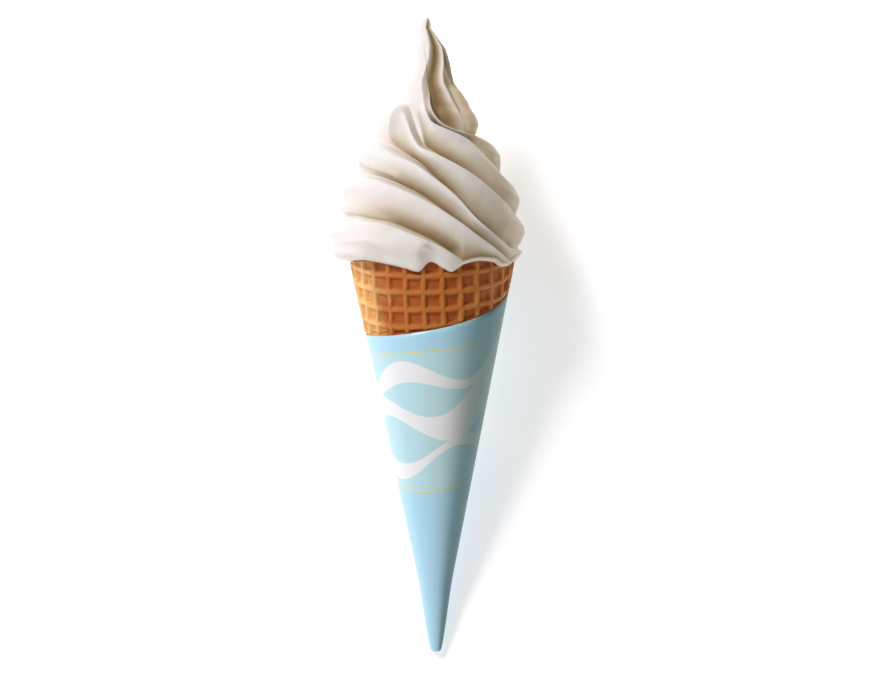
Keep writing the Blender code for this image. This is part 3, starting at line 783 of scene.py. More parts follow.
@dataclass
class SoftServe:
    """The piped swirl: one strand that climbs round the cone in tilted coils and ends in a peak.

    Its angles are in degrees from the front, positive to the right. The heights of the crests and of their
    left and right ends, and the drops of the drape, are in millimetres. The spans of drape_front and
    drape_left are of the angle's cosine and of its sine.
    """

    top_at: float = 0.2244
    plug_bottom_at: float = 0.030
    plug_depths: Row = (0.012, 0.045, 0.08)
    shelf_step: float = 0.00002
    gap: float = 0.0003
    wall: float = 0.0024
    front_columns: int = 240
    back_columns: int = 100
    coil_rows: int = 30
    top_rows: int = 70
    crest_angles: Row = (-90, -60, -45, -30, -20, -10, 0, 15, 30, 45, 60, 75, 90)
    crests: Table = (
        (220.2, 218.0, 216.0, 212.0, 207.0, 199.0, 191.0, 186.2, 184.3, 183.3, 182.9, 182.8, 182.7),
        (207.0, 206.0, 205.0, 203.0, 198.0, 192.4, 187.1, 185.0, 183.0, 180.2, 174.5, 170.4, 169.5),
        (193.8, 193.6, 192.6, 187.8, 182.6, 178.2, 176.4, 173.3, 169.3, 164.3, 160.0, 156.8, 155.4),
        (180.2, 179.4, 178.0, 175.6, 173.8, 171.6, 168.1, 161.8, 152.8, 147.5, 144.0, 143.1, 143.0),
        (168.4, 168.2, 167.3, 165.3, 163.4, 161.2, 158.4, 153.2, 147.3, 143.2, 139.5, 136.0, 133.3),
        (154.2, 153.9, 152.8, 151.6, 149.8, 147.6, 145.2, 140.5, 134.0, 128.0, 125.0, 123.5, 122.9),
    )
    left_ends: Row = (220.2, 207.0, 193.8, 180.2, 168.4, 154.2, 139.6, 126.4)
    crease_depths: Row = (0.0066, 0.0064, 0.0078, 0.0078, 0.0070, 0.0060)
    crease_wall: float = 0.0010
    crease_share: float = 0.4
    crease_room: float = 0.0002
    highest_edge: float = 0.8
    wall_rows: int = 6
    face_curve: float = 1.5
    wall_curve: float = 2.0
    depth_angles: Row = (-90, -60, -45, -30, -15, 0, 20, 40, 60, 75, 90, 130, 230, 270)
    depth_shares: Row = (0.0, 0.36, 0.58, 0.82, 1.0, 1.0, 1.0, 0.90, 0.62, 0.34, 0.05, 0.6, 0.6, 0.0)
    depth_change: Span = (0.3125, 0.9375)
    first_crease_ends: Span = (28.0, 73.0)
    first_crease_returns: Span = (110.0, 150.0)
    left_side: Span = (-90.0, -28.0)
    left_rear: Span = (200.0, 270.0)
    right_side: Span = (22.0, 84.0)
    right_rear: Span = (95.0, 155.0)
    right_end: float = 110.0
    edge_spread: float = 0.0007
    edge_sink: float = 0.0004
    envelope: Table = (
        (0.138, 0.0320),
        (0.1415, 0.0333),
        (0.145, 0.0340),
        (0.150, 0.0339),
        (0.157, 0.0322),
        (0.164, 0.0302),
        (0.170, 0.0278),
        (0.176, 0.0248),
        (0.1804, 0.0215),
        (0.1865, 0.0178),
        (0.1905, 0.0160),
        (0.1945, 0.0118),
        (0.198, 0.0085),
        (0.2098, 0.0034),
        (0.2244, 0.0005),
    )
    envelope_side: float = 0.0013
    side_fades: Span = (0.180, 0.200)
    outline: Table = (
        (0.1361, 0.0306, 0.0292),
        (0.1396, 0.0320, 0.0299),
        (0.1416, 0.0344, 0.0293),
        (0.1438, 0.0340, 0.0294),
        (0.1453, 0.0341, 0.0309),
        (0.1486, 0.0360, 0.0323),
        (0.1507, 0.0344, 0.0320),
        (0.1528, 0.0309, 0.0306),
        (0.1545, 0.0306, 0.0292),
        (0.1573, 0.0325, 0.0304),
        (0.1601, 0.0311, 0.0311),
        (0.1642, 0.0323, 0.0290),
        (0.1656, 0.0289, 0.0278),
        (0.1677, 0.0264, 0.0254),
        (0.1691, 0.0262, 0.0243),
        (0.1722, 0.0262, 0.0245),
        (0.1757, 0.0273, 0.0242),
        (0.1785, 0.0228, 0.0224),
        (0.1802, 0.0212, 0.0202),
        (0.1813, 0.0202, 0.0181),
        (0.1827, 0.0200, 0.0156),
        (0.1861, 0.0193, 0.0165),
        (0.1896, 0.0184, 0.0153),
        (0.1917, 0.0167, 0.0143),
        (0.1931, 0.0146, 0.0136),
        (0.1945, 0.0108, 0.0129),
        (0.1959, 0.0076, 0.0118),
        (0.1980, 0.0063, 0.0104),
        (0.2007, 0.0049, 0.0073),
        (0.2098, 0.0028, 0.0028),
        (0.2244, 0.0002, 0.0002),
    )
    peak: Table = (
        (0.1300, 0.0150, 0.0),
        (0.1820, 0.0140, 0.0),
        (0.1900, 0.0125, 0.0),
        (0.1945, 0.0112, 0.0),
        (0.1973, 0.0099, 0.0002),
        (0.1993, 0.0091, -0.0001),
        (0.2014, 0.0080, -0.0004),
        (0.2042, 0.0070, -0.0003),
        (0.2084, 0.0060, 0.0),
        (0.2112, 0.0054, -0.0001),
        (0.2140, 0.0048, -0.0004),
        (0.2167, 0.0036, -0.0011),
        (0.2188, 0.0028, -0.0017),
        (0.2209, 0.0020, -0.0024),
        (0.2230, 0.0015, -0.0021),
        (0.2244, 0.0004, -0.0018),
    )
    peak_grooves: Table = (
        (0, 0.0),
        (30, 1.0),
        (54, 0.0),
        (92, 1.0),
        (112, 0.0),
        (150, 1.0),
        (170, 0.0),
        (200, 1.0),
        (225, 0.0),
        (246, 1.0),
        (258, 0.0),
        (270, 1.0),
        (310, 0.04),
    )
    peak_groove: float = 0.34
    groove_curve: float = 0.8
    peak_fullness: float = 1.04
    peak_twist_heights: Row = (0.180, 0.187, 0.1924, 0.197, 0.202, 0.211, 0.217, 0.224)
    peak_twist: Row = (0.0, -2.0, -9.0, -19.0, -24.0, -11.0, -3.0, 5.0)
    peak_blend: float = 0.0008
    ridges: tuple[Ridge, ...] = (
        Ridge((-90, -60, -33, -14), (175.7, 172.8, 169.1, 163.6), 0.0016, 0.0030),
        Ridge((-90, -60, -40, -18), (157.2, 156.3, 154.5, 150.0), 0.0012, 0.0026),
        Ridge((-90, -60, -39, -28, -18, -4), (146.5, 146.2, 146.2, 143.0, 139.8, 134.5), 0.0008, 0.0030),
        Ridge((-24, -11, -3, 4, 13, 24), (149.5, 146.2, 143.7, 140.3, 136.1, 132.0), 0.0013, 0.0024),
    )
    petal_heights: Row = (0.1780, 0.1809, 0.1854, 0.1896, 0.1938, 0.1970)
    petal_angles: Row = (-36, -42, -50, -49, -48, -45)
    petal_rise: float = 0.0026
    petal_half_width: float = 0.0038
    petal_fade: float = 0.005
    petal_curve: float = 1.5
    drape: Table = (
        (-180, -0.6),
        (-150, 0.9),
        (-120, -0.2),
        (-90, -0.4),
        (-60, -0.6),
        (-45, 0.2),
        (-20, 2.6),
        (-10, 3.9),
        (-1, 0.5),
        (7, 2.6),
        (13, 3.9),
        (22, 1.2),
        (34, 0.0),
        (45, 0.3),
        (54, 1.9),
        (62, 1.7),
        (72, -0.4),
        (90, -1.2),
        (120, 1.6),
        (150, 0.2),
        (180, -0.6),
    )
    drape_lip: float = 0.0016
    drape_roll: float = 0.0018
    drape_clear: float = 0.0006
    drape_thickness: float = 0.0012
    drape_front: Span = (-0.15, 0.35)
    drape_left: Span = (0.5, 0.8)
    drape_settles: Span = (0.0006, 0.0081)
    ruffles: Table = ((0.0085, 3.1, 0.00030), (0.0032, 7.7, 0.00010))
    ruffled_from: Span = (0.002, 0.008)
    # How much painted shade falls on crease walls, at the foot of the peak and in its grooves.
    wall_shade_share: float = 0.55
    seat_shade: Span = (0.86, 0.98)
    groove_shade_starts: Span = (-50.0, -10.0)
    groove_shade_ends: Span = (200.0, 250.0)
    # Angles and heights of the painted shade on the side away from the light.
    side_shade_from: Span = (26.0, 72.0)
    side_shade_until: Span = (175.0, 235.0)
    side_shade_heights: Span = (0.160, 0.190)
    side_shade_below: float = 0.46
    side_shade_gain: float = 0.44
    flow_around: float = 0.03
    flow_down: float = 0.012
    finish: CreamFinish = field(default_factory=CreamFinish)

    def crest_height(self, line: int, angle: Array) -> Array:
        """Height of the sharp crest below a crease.

        Args:
            line: the crest's number from the top.
            angle: angles from -90 degrees on the left, over the front, to 270 degrees.

        Returns:
            The height at each angle.
        """
        front = smooth_through(np.degrees(angle), self.crest_angles, self.crests[line])
        right, behind = self.crests[line][-1], self.left_ends[line + 1]
        back = right + (behind - right) * rise(angle, (math.pi / 2, 1.5 * math.pi))
        return 0.001 * np.where(angle <= math.pi / 2, front, back)

    def side_offset(self, coil: int, down: Array, side: Side) -> Array:
        """How far a coil's outline on one side of the photograph stands off from the envelope.

        Args:
            coil: the coil's number from the top.
            down: how far down across the coil, from 0 to 1.
            side: which outline.

        Returns:
            The distance at each place.
        """
        top = 1000 * self.top_at
        heights, left, right = np.array(self.outline).T
        if side is Side.LEFT:
            ends, drawn = (top, *self.left_ends), left
        else:
            ends, drawn = (top, *(line[-1] for line in self.crests), self.right_end), right
        upper, lower = ends[min(coil, len(ends) - 2)], ends[min(coil + 1, len(ends) - 1)]
        height = 0.001 * (upper + (lower - upper) * down)
        envelope = self.envelope_radius(height, side.value * math.pi / 2)
        return np.interp(height, heights, drawn) - envelope

    def envelope_radius(self, height: Array, angle: Array | float) -> Array:
        """Radius that the crests reach, a little larger on the left.

        Args:
            height: heights up the axis.
            angle: angles from the front, in radians.

        Returns:
            The radius at each place.
        """
        heights, radii = np.array(self.envelope).T
        low, high = self.side_fades
        lean = self.envelope_side * np.clip((high - height) / (high - low), 0.0, 1.0)
        return smooth_through(height, heights, radii) - lean * np.sin(angle)

    def section(self, down: Array, edge: Array) -> Array:
        """How far in the surface lies across a coil, as a share of the crease's depth.

        Args:
            down: how far down across the coil, from 0 to 1.
            edge: how far down its crest lies.

        Returns:
            0 on the crest and 1 in the crease.
        """
        face = np.clip((down - edge) / (1.0 - edge), 0.0, 1.0)
        wall = np.clip(1.0 - down / np.maximum(edge, TINY), 0.0, 1.0)
        return np.maximum(face**self.face_curve, wall**self.wall_curve)

    def crease_depth(self, turned: Array, coil: int, down: Array) -> tuple[Array, Array]:
        """How deep the creases above and below a coil go.

        Args:
            turned: angles from -90 to 270, in degrees.
            coil: the coil's number from the top.
            down: how far down across the coil, from 0 to 1.

        Returns:
            The depth at each angle, and the share of the full depth that it is.
        """
        depths = (*self.crease_depths, self.crease_depths[-1])
        if coil == 0:
            share = 1.0 - rise(turned, self.first_crease_ends) + rise(turned, self.first_crease_returns)
            return share * depths[0], share
        share = smooth_through(turned, self.depth_angles, self.depth_shares)
        above = depths[coil - 1] if coil > 1 else depths[coil]
        return share * (above + (depths[coil] - above) * rise(down, self.depth_change)), share

    def coil_radius(self, angle: Array, height: Array, coil: int, down: Array) -> Array:
        """Radius of a coil before its creases are cut in.

        Args:
            angle: angles from -90 to 270 degrees, in radians.
            height: heights up the axis.
            coil: the coil's number from the top.
            down: how far down across the coil, from 0 to 1.

        Returns:
            The radius at each angle.
        """
        turned = np.degrees(angle)
        left = (1.0 - rise(turned, self.left_side)) * self.side_offset(coil, down, Side.LEFT)
        left = left + rise(turned, self.left_rear) * self.side_offset(coil + 1, down, Side.LEFT)
        right = rise(turned, self.right_side) * (1.0 - rise(turned, self.right_rear))
        return self.envelope_radius(height, angle) + left + right * self.side_offset(coil, down, Side.RIGHT)

    def surface(
        self, angle: Array, height: Array, coil: int, down: Array, edge: Array
    ) -> tuple[Array, Array]:
        """Radius of the swirl's surface, and how much painted shade each place gets in the folds.

        Args:
            angle: angles from -90 to 270 degrees, in radians.
            height: heights up the axis.
            coil: the coil's number from the top.
            down: how far down across the coil, from 0 to 1.
            edge: how far down its crest lies.

        Returns:
            The radius at each angle, and the share of painted fold shade, 0 on a crest to 1 in a crease.
        """
        turned = np.degrees(angle)
        depth, share = self.crease_depth(turned, coil, down)
        inward = self.section(down, edge)
        if coil == len(self.crease_depths):
            inward = np.where(down < edge, inward, 0.0)
        coils = self.coil_radius(angle, height, coil, down) - depth * inward
        for ridge in self.ridges:
            coils = coils + ridge.rises(angle, height)
        coils = coils + self.petal_lift(angle, height, coils)
        groove = self.spire_groove(angle, height)
        heights, radii, _ = np.array(self.peak).T
        spire = smooth_through(height, heights, radii) * (self.peak_fullness - self.peak_groove * groove)
        blend = np.clip(0.5 + 0.5 * (coils - spire) / self.peak_blend, 0, 1)
        radius = spire + (coils - spire) * blend + self.peak_blend * blend * (1 - blend)
        # Painted shade: fold share on crease faces and walls, and in the peak's grooves and at its foot.
        crease_shade = np.where(down < edge, self.wall_shade_share * inward, inward)
        seat_shade = rise(down, self.seat_shade) if coil == 0 else 0.0
        shaded = rise(turned, self.groove_shade_starts) * (1.0 - rise(turned, self.groove_shade_ends))
        return radius, blend * share * crease_shade + (1 - blend) * shaded * np.maximum(groove, seat_shade)

    def petal_lift(self, angle: Array, height: Array, radius: Array) -> Array:
        """Rise of the upright fold that the first coil makes where it leaves the peak, on the left.

        Args:
            angle: angles from -90 to 270 degrees, in radians.
            height: heights up the axis.
            radius: the radius before.

        Returns:
            The rise at each place.
        """
        line = np.radians(smooth_through(height, self.petal_heights, self.petal_angles))
        beside = np.clip(1.0 - np.abs(angle - line) * radius / self.petal_half_width, 0.0, 1.0)
        low, high = self.petal_heights[0], self.petal_heights[-1]
        fade_in = rise(height, (low, low + self.petal_fade))
        fade_out = 1.0 - rise(height, (high - self.petal_fade, high))
        return self.petal_rise * fade_in * fade_out * beside**self.petal_curve

    def spire_groove(self, angle: Array, height: Array) -> Array:
        """How deep in the grooves of the peak a place lies.

        Args:
            angle: angles from -90 to 270 degrees, in radians.
            height: heights up the axis.

        Returns:
            0 on a sharp ridge and 1 in a round crease.
        """
        twist = smooth_through(height, self.peak_twist_heights, self.peak_twist)
        angles, grooves = np.array(self.peak_grooves).T
        groove = np.interp(np.degrees(angle) - twist, angles, grooves, period=360.0)
        return np.sin(0.5 * np.pi * groove) ** self.groove_curve

    def drape_height(self, angle: Array) -> Array:
        """Height of the lower edge, which hangs over the rim in soft teeth.

        Args:
            angle: angles from the front, in radians.

        Returns:
            The height at each angle.
        """
        turned = np.degrees((angle + math.pi) % (2 * math.pi) - math.pi)
        angles, drops = np.array(self.drape).T
        return CONE.rim_at - 0.001 * smooth_through(turned, angles, drops)

    def draped(self, angle: Array, height: Array, radius: Array, lower: Array) -> Array:
        """Radius with the lower edge resting on the cone in front, and rolled under elsewhere.

        Args:
            angle: angles from -90 to 270 degrees, in radians.
            height: heights up the axis.
            radius: the radius before.
            lower: height of the lower edge.

        Returns:
            The radius at each angle.
        """
        above = np.clip((height - lower) / self.drape_lip, 0.0, 1.0)
        cone = height * math.tan(CONE.half_angle)
        touching = cone + self.drape_clear + self.drape_thickness * np.sqrt(above)
        free = radius - self.drape_roll * (1.0 - np.sqrt(1.0 - (1.0 - above) ** 2))
        front = rise(np.cos(angle), self.drape_front) * (1.0 - rise(-np.sin(angle), self.drape_left))
        settled = touching + (free - touching) * rise(height - lower, self.drape_settles)
        return free + (settled - free) * front

    def crest_lines(self, angle: Array, lower: Array) -> list[Array]:
        """Heights of all crests, kept apart where the lower edge would cut them off.

        Args:
            angle: angle of each column.
            lower: height of the lower edge at each.

        Returns:
            The heights of each crest, from the top.
        """
        found = []
        for line in range(len(self.crests)):
            least = lower + self.edge_spread * (len(self.crests) - line) - self.edge_sink
            found.append(np.maximum(self.crest_height(line, angle), least))
        return found

    def crease_lines(self, crests: list[Array], lower: Array) -> list[Array]:
        """Heights of the creases, each a little above its crest.

        Args:
            crests: heights of each crest.
            lower: height of the lower edge.

        Returns:
            The peak's top, the heights of each crease, and the lower edge.
        """
        found = [np.full(len(lower), self.top_at)]
        for line, crest in enumerate(crests):
            room = (crests[line - 1] if line else found[0]) - crest
            most = self.crease_share * np.maximum(room, self.crease_room)
            found.append(crest + np.minimum(self.crease_wall, most))
        return [*found, lower]

    def coil_levels(
        self, coil: int, angle: Array, creases: list[Array], crests: list[Array]
    ) -> list[Level]:
        """Levels of points across one coil.

        Args:
            coil: the coil's number from the top, 0 being the peak.
            angle: angle of each column.
            creases: heights of all creases, with the lower edge last.
            crests: heights of all crests.

        Returns:
            The levels from the top.
        """
        upper, under = creases[coil], creases[coil + 1]
        if coil == 0:
            edge, wall_rows, rows = 0 * angle, 0, self.top_rows
        else:
            room = np.maximum(upper - under, TINY)
            edge = np.clip((upper - crests[coil - 1]) / room, 0.0, self.highest_edge)
            wall_rows, rows = self.wall_rows, self.coil_rows
        found = []
        for step in range(rows):
            if step < wall_rows:
                down = edge * step / wall_rows
            else:
                down = edge + (1.0 - edge) * (step - wall_rows) / (rows - wall_rows)
            height = np.minimum(upper + (under - upper) * down, self.top_at - self.shelf_step)
            radius, fold_shade = self.surface(angle, height, coil, down, edge)
            radius = self.draped(angle, height, radius, creases[-1])
            found.append(Level(radius, height, coil + step / rows, fold_shade))
        return found

    def closing_levels(self, lower: Array) -> list[Level]:
        """Levels that go in under the lower edge and down the plug inside the cone.

        Args:
            lower: height of the lower edge.

        Returns:
            The levels from the top.
        """
        slope, side = math.tan(CONE.half_angle), math.cos(CONE.half_angle)
        on_cone, inside = self.gap / side, (self.wall + self.gap) / side
        shelf = CONE.rim_at + self.gap
        tucked = np.minimum(lower, shelf)
        same, flow = 0 * lower, len(self.crests) + 1.0
        found = [
            Level(tucked * slope + on_cone, tucked, flow, same),
            Level(CONE.rim_radius + on_cone + same, shelf + self.shelf_step + same, flow + 0.1, same),
        ]
        for height in (shelf, *(CONE.rim_at - depth for depth in self.plug_depths), self.plug_bottom_at):
            found.append(Level(height * slope - inside + same, height + same, flow + 0.2, same))
        return found

    def faces(self, heights: Array, count: int, shared: int) -> list[Face]:
        """Faces between columns of points set side by side.

        The coils climb by one over a turn, so the last column meets the first by height and not by level.

        Args:
            heights: height of each level in the first and the last column.
            count: number of columns.
            shared: number of levels before the closing ones.

        Returns:
            Corner numbers of each face, without the two ends.
        """
        total = heights.shape[1]
        faces = []
        for column in range(count - 1):
            here, there = column * total, (column + 1) * total
            for row in range(total - 1):
                faces.append((here + row, here + row + 1, there + row + 1, there + row))
        last, here, there = (count - 1) * total, 0, 0
        while here < total - 1 or there < total - 1:
            if here >= shared and here == there:
                faces.append((last + here, last + here + 1, there + 1, there))
                here, there = here + 1, there + 1
            elif there >= shared or (here < shared and heights[1, here + 1] >= heights[0, there + 1]):
                faces.append((last + here, last + here + 1, there))
                here += 1
            else:
                faces.append((last + here, there + 1, there))
                there += 1
        return faces

    def stood(self, angle: Array, level: Level) -> Array:
        """Points of a level on the lying cone, drawn in where they would go below the floor.

        Args:
            angle: angle of each column.
            level: the level.

        Returns:
            Points with X, Y and Z last.
        """
        heights, _, leans = np.array(self.peak).T
        lean = np.interp(level.height, heights, leans)
        across = lean + level.radius * np.sin(angle)
        place = CONE.place(across, level.height, level.radius * np.cos(angle))
        middle = CONE.place(lean, level.height, 0 * level.radius)
        place = self._ruffled(place, middle, level.radius)
        fall = np.maximum(middle[:, 2] - place[:, 2], TINY)
        reach = np.where(place[:, 2] < 0.0, middle[:, 2] / fall, 1.0)
        return middle + (place - middle) * reach[:, None]

    def cream_side_shade(self, angle: Array, heights: Array) -> Array:
        """How much painted shade, a warm tint, the cream's colour gets, more on the side away from the
        light.

        Args:
            angle: angle of each column.
            heights: height of each level in each column.

        Returns:
            A share for each of these points.
        """
        turned = np.degrees(angle)[:, None]
        aside = rise(turned, self.side_shade_from) * (1.0 - rise(turned, self.side_shade_until))
        return aside * (self.side_shade_below + self.side_shade_gain * rise(heights, self.side_shade_heights))

    def shape(self) -> bpy.types.Object:
        """Build the mesh.

        Returns:
            The object, without its finish.
        """
        front = np.linspace(-math.pi / 2, math.pi / 2, self.front_columns, endpoint=False)
        back = np.linspace(math.pi / 2, 1.5 * math.pi, self.back_columns, endpoint=False)
        angle = np.concatenate([front, back])
        lower = self.drape_height(angle)
        crests = self.crest_lines(angle, lower)
        creases = self.crease_lines(crests, lower)
        levels = []
        for coil in range(len(crests) + 1):
            levels += self.coil_levels(coil, angle, creases, crests)
        shared = len(levels)
        levels += self.closing_levels(lower)
        count, total = len(angle), len(levels)
        heights = np.array([level.height for level in levels]).T
        grid = np.array([self.stood(angle, level) for level in levels]).transpose(1, 0, 2)
        points, faces = [grid.reshape(-1, 3)], self.faces(heights[[0, -1]], count, shared)
        for number, end in enumerate((0, total - 1)):
            points.append(grid[:, end].mean(axis=0)[None])
            for column in range(count):
                beside = (column + 1) % count
                faces.append((count * total + number, beside * total + end, column * total + end))
        made = mesh_object("swirl", np.concatenate(points), faces)
        around = with_middles(np.repeat(angle, total))
        flow = with_middles(np.tile([level.flow for level in levels], count))
        corner_map(made, "flow", around * self.flow_around, flow * self.flow_down)
        point_values(made, "fold_shade", with_middles(np.array([level.fold_shade for level in levels]).T))
        point_values(made, "cream_side_shade", with_middles(self.cream_side_shade(angle, heights)))
        return made

    def _ruffled(self, place: Array, middle: Array, radius: Array) -> Array:
        """Move points in and out a little, as soft cream is never quite even.

        Args:
            place: points of a level.
            middle: the axis beside each of them.
            radius: distance of each from it.

        Returns:
            The moved points.
        """
        low, high = self.ruffled_from
        share = np.clip((radius - low) / (high - low), 0.0, 1.0)
        bumps = sum(wobble(place, size, seed) * height for size, seed, height in self.ruffles)
        outward = (place - middle) / np.maximum(radius, TINY)[:, None]
        return place + outward * (bumps * share)[:, None]

    def build(self) -> bpy.types.Object:
        """Build and dress the swirl, standing for its CAD node.

        Returns:
            The object.
        """
        made = self.shape()
        made.data.materials.append(self.finish.make())
        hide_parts("soft_serve")
        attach(made, "root")
        return made


# Paper sleeve


@dataclass
class PaperSleeve:
    """The printed sleeve, rolled from a flat blank with a straight top edge that runs up round the cone."""

    outside: float = -0.00005
    thickness: float = 0.00034
    edge_slant: float = 0.1161
    edge_turn: float = math.radians(-11)
    top_limit: float = 0.1365
    lap: float = math.radians(125)
    lap_step: float = 0.00025
    lap_width: float = math.radians(26)
    lap_fade: float = 0.05
    lap_rows: float = 6.0
    seam_gap: float = 0.003
    end_thickness: float = 0.0012
    inner_shares: Row = (0.5, 0.24, 0.12, 0.05)
    tip_rows: int = 8
    columns: int = 300
    rows: int = 90
    row_curve: float = 1.3
    cut_rise: float = 0.00004
    cut_inset: float = 0.00008
    # Angles where the painted shade comes in and goes out again.
    sleeve_shade_starts: Span = (6.0, 62.0)
    sleeve_shade_ends: Span = (84.0, 124.0)
    finish: PaperFinish = field(default_factory=PaperFinish)

    def edge(self, angle: Array) -> Array:
        """Height of the top edge, which runs up round the cone.

        Args:
            angle: angles from the shown side.

        Returns:
            The height at each angle.
        """
        turned = (angle - self.lap) % (2 * math.pi) + self.lap - 2 * math.pi
        slant = self.edge_slant / np.cos(turned * math.sin(CONE.half_angle) - self.edge_turn)
        return np.minimum(slant * math.cos(CONE.half_angle), self.top_limit)

    def inner_offset(self, along: Array) -> Array:
        """How far the sleeve's inner face stands off from the cone."""
        return self.outside - self.thickness + CONE.tip_width(along) * math.cos(CONE.half_angle)

    def outer_levels(self, edge: Array, lap: Array) -> list[tuple[Array, Array]]:
        """Levels of the outer face, from the rounded tip to the top edge.

        Args:
            edge: height of the top edge in each column.
            lap: how far each column is raised by the lap.

        Returns:
            Height and rise of each level.
        """
        same = 0 * edge
        found = []
        for step in range(self.tip_rows):
            turn = 0.5 * math.pi * step / self.tip_rows
            found.append((CONE.tip_at + CONE.tip_round * (1.0 - math.cos(turn)) + same, same))
        rounded = CONE.tip_at + CONE.tip_round
        for step in range(self.rows + 1):
            share = (step / self.rows) ** self.row_curve
            found.append((rounded + (edge - rounded) * share, lap * min(1.0, share * self.lap_rows)))
        return found

    def shape(self) -> bpy.types.Object:
        """Build the mesh.

        Returns:
            The object, without its finish.
        """
        even = np.linspace(0.0, 2 * math.pi, self.columns, endpoint=False)
        angle = self.lap + self.seam_gap + even * (2 * math.pi - 2 * self.seam_gap) / even[-1]
        turned = angle - 2 * math.pi
        edge = self.edge(angle)
        lapped = (self.lap_width, self.lap_width + self.lap_fade)
        lap = self.lap_step * (1.0 - rise(angle - self.lap, lapped))
        outer = self.outer_levels(edge, lap)
        rings = [
            CONE.ring(angle, along, CONE.tip_offset(along) + self.outside + extra)
            for along, extra in outer
        ]
        for offset in (self.outside + lap - self.cut_inset, self.outside - self.thickness + self.cut_inset):
            rings.append(CONE.ring(angle, edge + self.cut_rise, offset))
        same = 0 * angle
        bottom = CONE.tip_at + self.end_thickness
        inner = [edge] + [bottom + (edge - bottom) * share for share in self.inner_shares] + [bottom + same]
        for along in inner:
            rings.append(CONE.ring(angle, along, self.inner_offset(along)))
        heights = [along for along, _ in outer] + [edge, edge] + inner
        points, faces = capped(np.array(rings))
        made = mesh_object("printed_sleeve", points, faces)
        places = [CONE.flat(turned, along, self.edge_turn) for along in heights]
        across = with_middles([place[0] for place in places])
        corner_map(made, "blank", across, with_middles([place[1] for place in places]))
        cut = np.zeros(len(points))
        cut[len(outer) * self.columns : -2] = 1.0
        point_values(made, "cut_edge", cut)
        # Painted shade: the print darkened on the side away from the light.
        from_front = np.degrees(turned) % 360.0
        shade_share = rise(from_front, self.sleeve_shade_starts) * (1.0 - rise(from_front, self.sleeve_shade_ends))
        point_values(made, "sleeve_side_shade", with_middles(np.tile(shade_share, len(heights))))
        return made

    def build(self) -> bpy.types.Object:
        """Build and dress the sleeve, standing for its CAD node.

        Returns:
            The object.
        """
        made = self.shape()
        made.data.materials.append(self.finish.make())
        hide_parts("paper_sleeve")
        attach(made, "root")
        return made


# Rolled wafer


